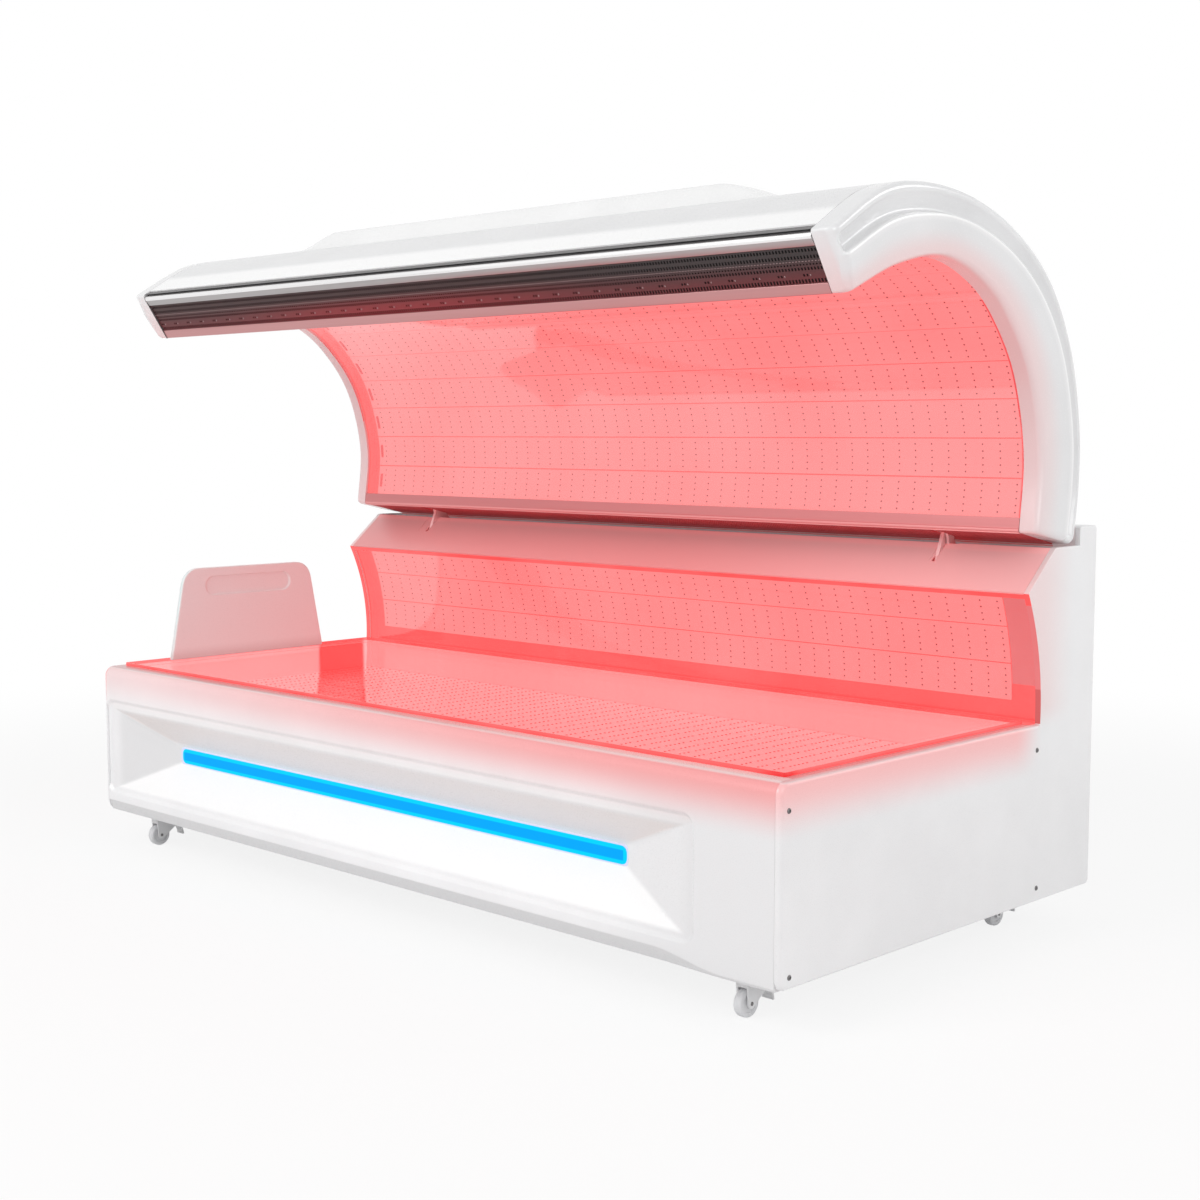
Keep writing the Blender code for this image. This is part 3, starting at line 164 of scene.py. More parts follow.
def clearFinish(name, gloss, edge, power=3.0, bare=()):  # mirror share grows from gloss, face-on, to edge
    f = Finish(name)
    facing = f.add("LayerWeight", {"Blend": 0.5}).outputs["Facing"]
    share = f.ranged(f.maths("POWER", facing, power), 0, 1, gloss, edge)
    if bare:  # zone with less of a mirror, for a painted reflection patch
        loss = f.maths("MULTIPLY", f.zone(bare), finishSet["bareLoss"])
        share = f.maths("MULTIPLY", share, f.maths("SUBTRACT", 1.0, loss))
    smear = f.ranged(f.noise(finishSet["smear"]), *finishSet["drift"], *finishSet["mirrorRough"])
    f.wire(f.shader, {"Roughness": smear, "Base Color": finishSet["mirrorTint"], "Metallic": 1.0})
    f.show(share, f.add("BsdfTransparent", {"Color": finishSet["clearTint"]}), f.shader)
    return f


def paintedLightWhite(name, colour, steps, glow=0.0):  # white plastic with painted light and shade in zones, the last zone also glowing a little as painted red light
    f = solidFinish(name, srgb(*colour), 0.30, coat=0.2)
    for tint, *edges in steps:
        share = f.tintZone(tint, *edges)
    if glow:
        lit = f.maths("MULTIPLY", share, glow)
        f.wire(f.shader, {"Emission Strength": lit, "Emission Color": srgb(*finishSet["spillRed"])})
    return f


white = (243, 243, 244)
# strength of the painted red glow on white plastic beside the lit sheets
paintedRedGlow = 0.035
glowColour = "Emission Color"
shellWhite = solidFinish("glossWhiteShell", srgb(*white), 0.27, coat=0.35)
crownWhite = solidFinish("crownWhite", srgb(249, 249, 249), 0.27, coat=0.35)
# canopy shell: greyer painted shade over its top and a brighter painted highlight band along the front lip
archWhite = paintedLightWhite("archWhite", (231, 231, 232), [((252, 252, 252), ("Y", -0.354, -0.332, 1, 0))])
capWhite = solidFinish("capWhite", srgb(234, 234, 235), 0.24, coat=0.45)
# end caps: painted red light near the inner edge and a painted highlight on the ridge, read from a point
# attribute
spill = capWhite.add("Attribute", attribute_name="spill").outputs["Fac"]
capWhite.tint(capWhite.ranged(spill, 0, 1, 0, 1), srgb(238, 212, 212))  # painted red light where the attribute is above 0
capWhite.tint(capWhite.ranged(spill, 0, -1, 0, 1), srgb(255, 255, 255))  # painted highlight along the ridge where it is below 0
# end panels: pink painted red light beside the back sheet and under the deck's edge, the latter glowing a
# little, and a mauve painted shadow line at the deck's height
panelWhite = paintedLightWhite("endPanelWhite", white, [
    ((243, 222, 222), ("Z", 0.440, 0.500, 0, 1), ("Y", 0.30, 0.46, 1, 0)),
    ((224, 192, 192), ("Z", 0.4515, 0.4552, 0, 1), ("Z", 0.4562, 0.4590, 1, 0), ("Y", 0.314, 0.322, 1, 0)),
    ((250, 192, 192), ("Z", 0.345, 0.449, 0, 1), ("Z", 0.4505, 0.4550, 1, 0), ("Y", 0.22, 0.335, 1, 0)),
], paintedRedGlow)
inRecess, onSlope = ("Y", -0.531, -0.518, 0, 1), ("Y", -0.5272, -0.5225, 0, 1)
lowRight, lowLeft = ((0.403, 0.0, 1.0), 0.493, 0.505), ((-0.403, 0.0, 1.0), 0.568, 0.579)  # recess's creases
topRight, topLeft = ((-0.398, 0.0, 1.0), -0.005, 0.006), ((0.398, 0.0, 1.0), -0.079, -0.067)
# fascia: painted light and shade in zones
fasciaWhite = paintedLightWhite("fasciaWhite", (248, 248, 249), [
    # right end greyer: painted shade
    ((235, 235, 236), ("X", 0.55, 0.90, 0, 1)),
    # the recess's lower slope pure white: painted highlight
    ((255, 255, 255), onSlope, ("Z", 0.222, 0.240, 1, 0), (*lowRight, 1, 0), (*lowLeft, 1, 0)),
    # the recess's top slope greyer: painted shade
    ((235, 228, 226), inRecess, ("Z", 0.268, 0.285, 0, 1), (*topRight, 0, 1), (*topLeft, 0, 1)),
    # the recess's right slope greyer: painted shade
    ((238, 238, 239), inRecess, (*lowRight, 0, 1), (*topRight, 1, 0)),
    # the recess's left slope greyer: painted shade
    ((228, 228, 229), inRecess, (*lowLeft, 0, 1), (*topLeft, 1, 0)),
    # mauve painted shadow along the brow's top, towards the left
    ((208, 172, 172), ("Z", 0.4530, 0.4556, 0, 1), ("X", -0.5, 0.7, 1, 0)),
    # lower slope under the front greyer: painted shade
    ((218, 218, 219), ("Y", -0.5348, -0.5336, 0, 1), ("Z", 0.1140, 0.1160, 1, 0)),
    # pink painted red light under the brow, stronger to the right, glowing a little
    ((243, 164, 164), ("Z", 0.345, 0.449, 0, 1), ("Z", 0.4515, 0.4550, 1, 0), ("X", -1.6, 0.9, 0.30, 1)),
], paintedRedGlow)
# deck rim: white plastic painted mauve as shade and red light, pinker towards its top
deckWhite = paintedLightWhite("deckWhite", (222, 200, 200), [((222, 170, 170), ("Z", 0.40, 0.456, 0.4, 1))])
# headboard: the face towards the room tinted cyan to take back part of the red light on it, a painted light
# correction, and a greyer painted shade near its foot
boardWhite = paintedLightWhite("headboardWhite", (228, 229, 230), [
    ((226, 240, 240), ("X", -1.025, -1.019, 0, 1)), ((208, 212, 212), ("Z", 0.462, 0.500, 1, 0))])
ledgeWhite = solidFinish("ledgeWhite", srgb(*white), 0.36, coat=0.1)
# ledge: pink painted red light over its front slope, paler pink towards the right, and a red painted glow
# under the crest where the heel shades it
ledgeFront = ("Y", 0.40, 0.48, 1, 0)
ledgeWhite.tintZone((232, 167, 167), ledgeFront)
ledgeWhite.tintZone((248, 194, 194), ledgeFront, ("X", 0.0, 0.95, 0, 1))
ledgeWhite.wire(ledgeWhite.shader, {"Emission Color": (0.0, 0.0, 0.0, 1.0), "Emission Strength": 1.0})
ledgeWhite.tintZone((118, 62, 62), ("Z", 0.800, 0.815, 0, 1), ("Y", 0.37, 0.42, 1, 0), socket=glowColour)

# diagonal band on the bed where a deep red painted reflection stands in for the mirror
bedPaintedReflection = (((0.78, 1.0, 0.0), -0.714, -0.700, 0, 1), ((0.78, 1.0, 0.0), -0.558, -0.544, 1, 0))
stripRed = glowFinish("stripRed", (255, 140, 140), (255, 150, 150), 0.94)
# reflectors, end walls and board plates of the light boxes glow red: painted light from the strips
backingRed = glowFinish("backingRed", (255, 84, 84), (255, 100, 100), 0.92)
bedRed = glowFinish("bedRed", (255, 160, 160), (255, 168, 168), 0.95, 2.0)
# deep red painted reflection in that band
bedRed.tintZone((255, 58, 58), *bedPaintedReflection, socket=glowColour)
# sheet edges glow red as painted light carried through the sheets, with a deeper red painted shade at the
# bed's front right corner
edgeRed = glowFinish("sheetEdgeRed", (252, 74, 74), (255, 96, 96), scale=6.0, rough=0.12)
edgeRed.tintZone((232, 26, 30), ("X", 1.00, 1.06, 0, 1), ("Y", -0.44, -0.475, 0, 1), socket=glowColour)
# plugs on the strips glow red as painted light; the same finish makes the painted glints at the canopy
# sheet's ends
connectorRed = glowFinish("connectorRed", (244, 80, 82), (236, 70, 74), 0.9)
# dimmer red glows for the right end of the back sheet: painted shade
endPaintedDim = glowFinish("backEndDull", (228, 122, 124), (222, 116, 118), 0.9)
endShade = glowFinish("backEndShade", (204, 86, 87), (196, 92, 92), 0.9)
# pale glow round the blue bar: its painted halo
surroundPaintedHalo = glowFinish("blueSurround", (222, 224, 255), (230, 232, 255), 0.8, base=(0.1, 0.1, 0.12, 1.0))
beadRed = solidFinish("ledBead", srgb(176, 42, 48), 0.3, grain=900.0)
bedBead = solidFinish("bedBead", srgb(226, 84, 86), 0.3, grain=900.0)
canopyClear = clearFinish("canopyClearSheet", 0.05, 0.38)
backClear = clearFinish("backClearSheet", 0.04, 0.23)
bedClear = clearFinish("bedClearSheet", 0.03, 0.17, 2.4, bedPaintedReflection)

drawn = {"toneScale": 30.0, "grain": 160.0, "stretch": (0.03, 1, 1), "bump": 0.03}  # metal, grain along X
dusty = {"toneScale": 20.0, "grain": 500.0}
# the upper rail's metal in a bright copy for its painted highlight and a grey copy for its painted shade
railBright = solidFinish("railBright", (0.88, 0.87, 0.87, 1.0), 0.30, 1.0, 0.03, **drawn)
railGrey = solidFinish("railGrey", (0.45, 0.43, 0.43, 1.0), 0.36, 1.0, 0.04, **drawn)
# lower rail: satin metal tinted red as painted red light from the strips
railSatin = solidFinish("railSatin", (0.60, 0.31, 0.31, 1.0), 0.40, 1.0, 0.04, **drawn)
# heel rail and grille: red tones stand for the strips' light, the rail's upper face darker as painted shade,
# its edges paler as painted highlight
heelMauve = solidFinish("heelMauve", srgb(206, 134, 135), 0.42, 0.5, 0.04, **drawn)
heelPale = solidFinish("heelPale", srgb(222, 154, 154), 0.42, 0.5, 0.04, **drawn)
heelGrillePaintedRed = solidFinish("heelGrille", srgb(190, 74, 78), 0.5, 0.2, 0.08, **dusty)
for finish, lit in ((heelGrillePaintedRed, srgb(124, 40, 44)), (heelPale, srgb(110, 60, 60))):  # painted red light from the strips
    finish.wire(finish.shader, {"Emission Color": lit, "Emission Strength": 0.3})
# front grille: red tones, strongest low down and in the middle, are painted red light from the strips; the
# right part greyer with less of it
grilleDark = solidFinish("grilleDark", srgb(64, 40, 40), 0.5, 0.2, 0.06, **dusty)
grilleDark.tintZone((54, 48, 48), ("X", 0.0, 0.8, 0, 1))
grilleDark.tintZone((104, 40, 44), ("Z", 1.362, 1.312, 0, 1))
grilleMiddle = ("X", -0.85, -0.2, 0, 1), ("X", -0.1, 0.65, 1, 0)
grilleDark.tintZone((138, 36, 42), ("Z", 1.360, 1.322, 0, 1), *grilleMiddle)
# near-black floors of the holes in the grilles and the vent slots: painted shade
grilleHole = solidFinish("grilleHole", srgb(14, 10, 11), 0.7, 0.0, 0.1, **dusty)
# grey sheet in the groove under the shell's front edge and on the rail's top face: painted shade
grooveDark = solidFinish("grooveDark", srgb(122, 120, 121), 0.6, 0.0, 0.05, **dusty)
# joint colours: dark joints, the left end's darker than the right as painted shade
seamGrey = solidFinish("seamGrey", srgb(186, 186, 187), 0.5, 0.0, 0.05, **dusty)
seamDark = solidFinish("seamDark", srgb(96, 94, 94), 0.5, 0.0, 0.05, **dusty)
# light pins and dashes on the grille stand in for its glints: painted highlights
glint = solidFinish("grilleGlint", srgb(178, 150, 150), 0.3, 0.6)
steelPaint = solidFinish("paintedSteel", srgb(205, 206, 208), 0.45, 0.2)
caseMetal = solidFinish("caseAluminium", srgb(208, 210, 212), 0.40, 0.9, grain=300.0, stretch=(0.05, 1, 1))
strutSteel = solidFinish("strutSteel", srgb(196, 198, 202), 0.2, 1.0, grain=300.0, stretch=(1, 1, 0.05))
screwSteel = solidFinish("screwSteel", srgb(120, 118, 118), 0.3, 0.9)
casterGrey = solidFinish("casterGrey", srgb(238, 238, 239), 0.42)
treadGrey = solidFinish("treadGrey", srgb(228, 228, 230), 0.55, bump=0.12)
blackPlastic = solidFinish("blackPlastic", srgb(30, 30, 31), 0.45, bump=0.15)
# hinge parts: white plastic tinted pink as painted red light from the strips
hingeWhite = solidFinish("hingeWhite", srgb(252, 208, 208), 0.35)
print("finishes made:", len(bpy.data.materials))


# Shapes

def gridFaces(rows, cols, loopRows=False, loopCols=False):  # one quad between each four neighbours of a grid
    r, c = np.meshgrid(np.arange(rows - (not loopRows)), np.arange(cols - (not loopCols)), indexing="ij")
    far, side = (r + 1) % rows, (c + 1) % cols
    return np.stack([r * cols + c, r * cols + side, far * cols + side, far * cols + c], -1).reshape(-1, 4)


class Surface:  # points and faces gathered from several grids, each face with the number of its finish
    def __init__(self):
        self.points, self.faces, self.looks, self.count = [], [], [], 0

    def add(self, points, faces, look=0):  # look is one number, or one for each face
        points, faces = np.asarray(points, float).reshape(-1, 3), np.atleast_2d(faces) + self.count
        self.points.append(points)
        self.faces += faces.tolist()
        self.looks += np.broadcast_to(look, len(faces)).tolist()
        self.count += len(points)
        return self

    def quads(self, points, look=0):  # every four points one face
        return self.add(points, np.arange(np.size(points) // 3).reshape(-1, 4), look)

    def tube(self, rings, look=0, ends=0):  # each ring joined to the next, the first and last filled
        rows, cols = rings.shape[:2]
        self.add(rings, gridFaces(rows, cols, False, True), look)
        for ring in (rings[0], rings[-1]):
            self.add(ring, np.arange(cols)[None], ends)
        return self


def putPiece(name, surface, finishes, body, stands=(), crease=32.0, spill=None):  # mesh from the grids
    mesh = bpy.data.meshes.new(name)
    mesh.from_pydata(np.concatenate(surface.points), [], surface.faces)
    mesh.polygons.foreach_set("material_index", np.array(surface.looks, np.int32))
    if spill is not None:
        held = mesh.attributes.new("spill", "FLOAT", "POINT")
        held.data.foreach_set("value", np.asarray(spill, np.float32))
    work = bmesh.new()
    work.from_mesh(mesh)
    bmesh.ops.remove_doubles(work, verts=work.verts, dist=1e-6)
    bmesh.ops.recalc_face_normals(work, faces=work.faces)
    work.to_mesh(mesh)
    work.free()
    for finish in finishes:
        mesh.materials.append(finish.made)
    mesh.polygons.foreach_set("use_smooth", np.ones(len(mesh.polygons), bool))
    mesh.set_sharp_from_angle(angle=math.radians(crease))
    piece = bpy.data.objects.new(name, mesh)
    bpy.context.scene.collection.objects.link(piece)
    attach(piece, body)
    if stands:
        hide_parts(*stands)
    return piece


def corners(left, right, low, high):  # the four corners of a rectangle
    return np.array([(left, low), (right, low), (right, high), (left, high)], float)


def onSide(side, near, far):  # the two x of a strip on one side, the lower first
    return sorted((side * near, side * far))


def softened(points, radius, steps=6):  # corners become quadratic curves that start radius before them
    p = np.asarray(points, float)
    reach = np.broadcast_to(np.asarray(radius, float), len(p))[:, None]
    before, after = np.roll(p, 1, 0) - p, np.roll(p, -1, 0) - p
    lb, la = np.linalg.norm(before, axis=1)[:, None], np.linalg.norm(after, axis=1)[:, None]
    reach = np.minimum(reach, 0.49 * np.minimum(lb, la))
    a, b = p + before / lb * reach, p + after / la * reach
    t = np.linspace(0, 1, steps)[None, :, None]
    return ((1 - t) ** 2 * a[:, None] + 2 * t * (1 - t) * p[:, None] + t ** 2 * b[:, None]).reshape(-1, 2)


def inset(outline, depth):  # outline moved inward along the mitre of its two sides' normals
    p = np.asarray(outline, float)
    side = np.roll(p, -1, 0) - p
    side /= np.maximum(np.linalg.norm(side, axis=1)[:, None], 1e-12)
    turn = np.sum(p[:, 0] * np.roll(p[:, 1], -1) - np.roll(p[:, 0], -1) * p[:, 1])
    normal = np.stack([-side[:, 1], side[:, 0]], -1) * (1 if turn > 0 else -1)
    last = np.roll(normal, 1, 0)
    mitre = (normal + last) / np.maximum(1 + np.sum(normal * last, 1), 0.3)[:, None]
    return p + np.asarray(depth)[..., None] * mitre


def placed(axis, flat, height):  # outline points set up with the third coordinate along the axis
    flat = np.asarray(flat, float)
    height = np.broadcast_to(height, len(flat))
    order = {"x": (height, flat[:, 0], flat[:, 1]), "y": (flat[:, 0], height, flat[:, 1]),
             "z": (flat[:, 0], flat[:, 1], height)}
    return np.stack(order[axis], -1)


# Outline carried from low to high, its edges quarter rounds inside a flat ring
def slab(surface, outline, low, high, radius, axis, steps=4, look=0, sideLook=None):
    angle = np.linspace(0, math.pi / 2, steps)[:, None]
    radii = radius if isinstance(radius, tuple) else (radius, radius)
    foot, head = (np.full((1, len(outline)), r) for r in radii)
    ring = 1.15  # the flat ring starts this many radii in
    cut = np.concatenate([ring * foot, foot * (1 - np.sin(angle)), head * (1 - np.cos(angle)), ring * head])
    rise = np.concatenate([0 * foot + low, low + foot * (1 - np.cos(angle)),
                           high - head * (1 - np.sin(angle)), 0 * head + high])
    rings = np.stack([placed(axis, inset(outline, c), h) for c, h in zip(cut, rise)])
    return surface.tube(rings, look if sideLook is None else sideLook, look)


def alongX(surface, section, left, right, look=0, sides=None):  # closed (y, z) section carried along X
    rings = np.stack([placed("x", section, x) for x in (left, right)])
    return surface.tube(rings, look if sides is None else sides, look)


def closedLoop(outer, inner, low, high):  # ring between two outlines, closed all round its section
    turns = ((outer, low), (outer, high), (inner, high), (inner, low))
    rings = np.stack([placed("z", flat, z) for flat, z in turns])
    return Surface().add(rings, gridFaces(*rings.shape[:2], True, True))


def blocks(surface, centres, along, across, up, halves, taper=0.8, look=0):  # small blocks that narrow upward
    centres = np.asarray(centres, float).reshape(-1, 3)
    along, across, up = (np.broadcast_to(v, centres.shape) for v in (along, across, up))
    sign = np.array([(-1, -1), (1, -1), (1, 1), (-1, 1)], float)
    rings = []
    for height, scale in ((0.0, 1.0), (1.0, taper)):
        rings.append(centres[:, None] + halves[2] * height * up[:, None]
                     + scale * halves[0] * sign[None, :, :1] * along[:, None]
                     + scale * halves[1] * sign[None, :, 1:] * across[:, None])
    quads = np.array([(0, 1, 5, 4), (1, 2, 6, 5), (2, 3, 7, 6), (3, 0, 4, 7), (4, 5, 6, 7), (3, 2, 1, 0)])
    faces = (np.arange(len(centres))[:, None, None] * 8 + quads[None]).reshape(-1, 4)
    return surface.add(np.concatenate(rings, 1), faces, look)


def lathe(surface, profile, centre, axis, count=32):  # (radius, height) profile turned round an axis
    profile = np.asarray(profile, float)
    turn = np.linspace(0, 2 * math.pi, count, endpoint=False)
    r, h = profile[:, :1], profile[:, 1:]
    a, b, c = r * np.cos(turn), r * np.sin(turn), h + 0 * turn
    order = {"x": (c, a, b), "y": (a, c, b), "z": (a, b, c)}
    points = np.stack(order[axis], -1) + np.asarray(centre)
    return surface.add(points, gridFaces(len(profile), count, False, True))


def perforated(surface, edges, bands, world, front, pocket, back):  # plate of cells, some with a pocket
    count = len(edges)
    top, low = bands[0][0], bands[-1][1]
    for start, stop, share, mask in bands:
        if share is None:
            x, a = np.meshgrid(edges, np.array([start, stop]), indexing="xy")
            surface.add(world(x, a, front), gridFaces(2, count))
            continue
        held = np.resize(np.asarray(mask, bool), count - 1)
        x0, x1 = edges[:-1], edges[1:]
        heights = np.tile([start, start, stop, stop], (count - 1, 1))
        plain = np.stack([np.stack([x0, x1, x1, x0], -1), heights], -1)
        surface.quads(world(plain[~held][..., 0], plain[~held][..., 1], front))
        cell = plain[held]
        middle = cell.mean(1, keepdims=True)
        hole = middle + (cell - middle) * np.array(share)
        rings = [world(cell[..., 0], cell[..., 1], front), world(hole[..., 0], hole[..., 1], front),
                 world(hole[..., 0], hole[..., 1], front - pocket)]
        points = np.concatenate([r.reshape(-1, 4, 3) for r in rings], 1)
        first = np.arange(len(cell))[:, None, None] * 12
        turn = [(i, (i + 1) % 4) for i in range(4)]
        side = np.array([(i + k, j + k, j + k + 4, i + k + 4) for k in (0, 4) for i, j in turn])
        surface.add(points, (first + side[None]).reshape(-1, 4))
        surface.quads(points[:, 8:], 1)
    x, b = np.meshgrid(edges, np.array([front, back]), indexing="xy")
    for a in (top, low):
        surface.add(world(x, a + 0 * x, b), gridFaces(2, count))
    x, a = np.meshgrid(edges, np.array([top, low]), indexing="xy")
    surface.add(world(x, a, back), gridFaces(2, count))
    marks = np.array(sorted({m for band in bands for m in band[:2]}))
    ring, depth = np.concatenate([marks, marks[::-1]]), np.repeat([front, back], len(marks))
    for end in (edges[0], edges[-1]):
        surface.add(world(np.full(len(ring), end), ring, depth), np.arange(len(ring))[None])
    return surface


def unit(v):  # vectors scaled to length one
    return v / np.linalg.norm(v, axis=-1, keepdims=True)


def smoothStep(t):  # 3t^2 - 2t^3 between 0 and 1
    t = np.clip(t, 0, 1)
    return t * t * (3 - 2 * t)


def quarter(distance, radius):  # how far a quarter round draws in, at a distance from the end
    return radius - np.sqrt(np.maximum(radius ** 2 - np.clip(radius - distance, 0, radius) ** 2, 0))


def layer(surface, shares, near, far, left, right, rule, look=0):  # sheet between two depths, carried along X
    front, behind = (rule(shares, np.full(len(shares), depth)) for depth in (near, far))
    return alongX(surface, np.concatenate([front, behind[::-1]]), left, right, look)


def ledLines(columns, rows, pitch):  # x of the columns (first, last, count), rows about a strip's middle
    return np.linspace(*columns), (np.arange(rows) - (rows - 1) / 2) * pitch


# Canopy outline

arch = {
    "hinge": (0.372, 0.838),
    "outer": ((-0.791, 0.562), (-0.642, 0.645), (-0.502, 0.668), (-0.342, 0.655), (-0.192, 0.606),
              (-0.062, 0.520), (0.028, 0.388), (0.072, 0.228), (0.074, 0.098), (0.056, -0.017)),
    "inner": ((-0.724, 0.456), (-0.572, 0.516), (-0.422, 0.539), (-0.282, 0.498),
              (-0.186, 0.425), (-0.112, 0.320), (-0.072, 0.168), (-0.084, 0.012)),
    "seam": 1.0597,  # half length of the pieces between the end caps
    "end": 1.115,
}


def archLine(knots):  # Catmull-Rom curve through the knots, its ends reflected
    k = np.asarray(knots, float) + arch["hinge"]
    k = np.vstack([2 * k[0] - k[1], k, 2 * k[-1] - k[-2]])
    t = np.linspace(0, len(knots) - 1, 800)
    i = np.minimum(t.astype(int), len(knots) - 2)
    f = (t - i)[:, None]
    a, b, c, d = k[i], k[i + 1], k[i + 2], k[i + 3]
    cubic = (2 * a - 5 * b + 4 * c - d) * f ** 2 + (3 * b - a - 3 * c + d) * f ** 3
    return 0.5 * (2 * b + (c - a) * f + cubic)


def onLine(line, share):  # point of a line at a share of its length
    run = np.concatenate([[0], np.cumsum(np.hypot(*np.diff(line, axis=0).T))])
    share = np.asarray(share, float)
    return np.stack([np.interp(share * run[-1], run, line[:, k]) for k in (0, 1)], -1)


outerLine, innerLine = archLine(arch["outer"]), archLine(arch["inner"])
innerSteps, outerSteps = (np.diff(line, axis=0).T for line in (innerLine, outerLine))
innerLength, outerLength = float(np.hypot(*innerSteps).sum()), float(np.hypot(*outerSteps).sum())


def fromOuter(share, depth):  # point this deep under the outer line, towards the inner one
    o, i = onLine(outerLine, share), onLine(innerLine, share)
    return o + np.asarray(depth)[..., None] * unit(i - o)


def fromInner(share, depth):  # point this far behind the inner line, towards the outer one
    o, i = onLine(outerLine, share), onLine(innerLine, share)
    return i + np.asarray(depth)[..., None] * unit(o - i)


def alongInner(share, depth, reach=0.002):  # direction of the arch at this depth behind the inner line
    return unit(fromInner(share + reach, depth) - fromInner(share - reach, depth))


shellSet = {
    "thick": 0.004, "stations": 160, "gap": 0.0010,
    "setBack": 0.024,  # front edge to the lip, along the shell
}
half = arch["seam"] - shellSet["gap"]
shares = np.linspace(shellSet["setBack"] / outerLength, 1, shellSet["stations"])
putPiece("canopyShell", layer(Surface(), shares, 0.0, shellSet["thick"], -half, half, fromOuter),
         [archWhite], "canopy", ["canopy_shell"])

capSet = {
    "seam": 1.0600, "across": 0.14,
    "edge": 0.010,  # rounding of the outer edge
    "rim": 1.1070,  # reach of the face under the outer edge
    "step": ((0.030, 0.0004), (0.014, 0.0016)),  # before the crease, under the rim
    "creaseAt": 0.14,  # shares of the way across
    "crease": 1.1036,
    "valley": 1.0930,  # deepest place of the scooped face
    "valleyAt": 0.335,
    "climb": ((0.14, 0.02), (0.26, 0.10), (0.36, 0.28), (0.44, 0.55), (0.51, 0.80), (0.60, 0.935),
              (0.74, 0.99), (0.90, 1.0), (1.15, 0.975)),  # from valley to ridge, in shares of both
    "ridgeAt": 0.425,
    "fall": (0.0005, 1.2),  # start of the bevel under the ridge, power of its slope
    "lipAt": 0.90,
    "lip": 1.1035,  # reach at the inner edge
    "lipRound": 0.015,
    "ridgeRun": (0.455, 0.33),  # share across where the ridge runs near the lip, and near the heel
    "ridgeTurn": (0.28, 0.78),  # it moves between these shares of the arch
    "endRound": (0.006, 0.016),  # rounding of the two ends: across the arch, along X
    "scoopFade": (0.004, 0.020),  # the scoop starts this far from the ends
    "near": (0.0, 0.0003, 0.0012, 0.0026, 0.0044, 0.0066, 0.0092, 0.0120, 0.0150, 0.0180, 0.0220, 0.03, 0.04),
    "stations": 110, "from": 0.052,  # between the closer rows at both ends
    "spill": (0.56, 0.40, 0.35, 0.55, 0.4),  # painted red light: start, reach across, loss, its start, reach
    "glare": (0.012, 0.022),  # painted highlight line: before the ridge, width
}


def capSection():  # (share across, x): rounded edge, step, scooped face, sharp ridge, broad bevel, inner lip
    c = capSet
    edge = c["edge"] / c["across"]
    rows = [(0.0, c["seam"])]
    rows += [(edge * (1 - math.cos(a)), c["rim"] - c["edge"] * (1 - math.sin(a)))
             for a in np.linspace(0, math.pi / 2, 7)]
    rows += [(c["creaseAt"] - back, c["rim"] - drop) for back, drop in c["step"]]
    rows.append((c["creaseAt"], c["crease"]))
    rows += [(c["creaseAt"] + (c["valleyAt"] - c["creaseAt"]) * t,
              c["crease"] + (c["valley"] - c["crease"]) * math.sin(t * math.pi / 2))
             for t in np.linspace(0, 1, 10)[1:]]
    rise = c["ridgeAt"] - c["valleyAt"]
    rows += [(c["valleyAt"] + rise * s, c["valley"] + (arch["end"] - c["valley"]) * x) for s, x in c["climb"]]
    start = c["ridgeAt"] + 0.15 * rise
    drop, power = c["fall"]
    fall = c["lip"] - arch["end"] + drop
    rows += [(start + (c["lipAt"] - start) * t, arch["end"] - drop + fall * t ** power)
             for t in np.linspace(0, 1, 9)[1:]]
    rows += [(c["lipAt"] + (1 - c["lipAt"]) * math.sin(a), c["lip"] - c["lipRound"] * (1 - math.cos(a)))
             for a in np.linspace(0, math.pi / 2, 8)[1:]]
    rows.append((1.0, c["seam"]))
    return np.array(rows)


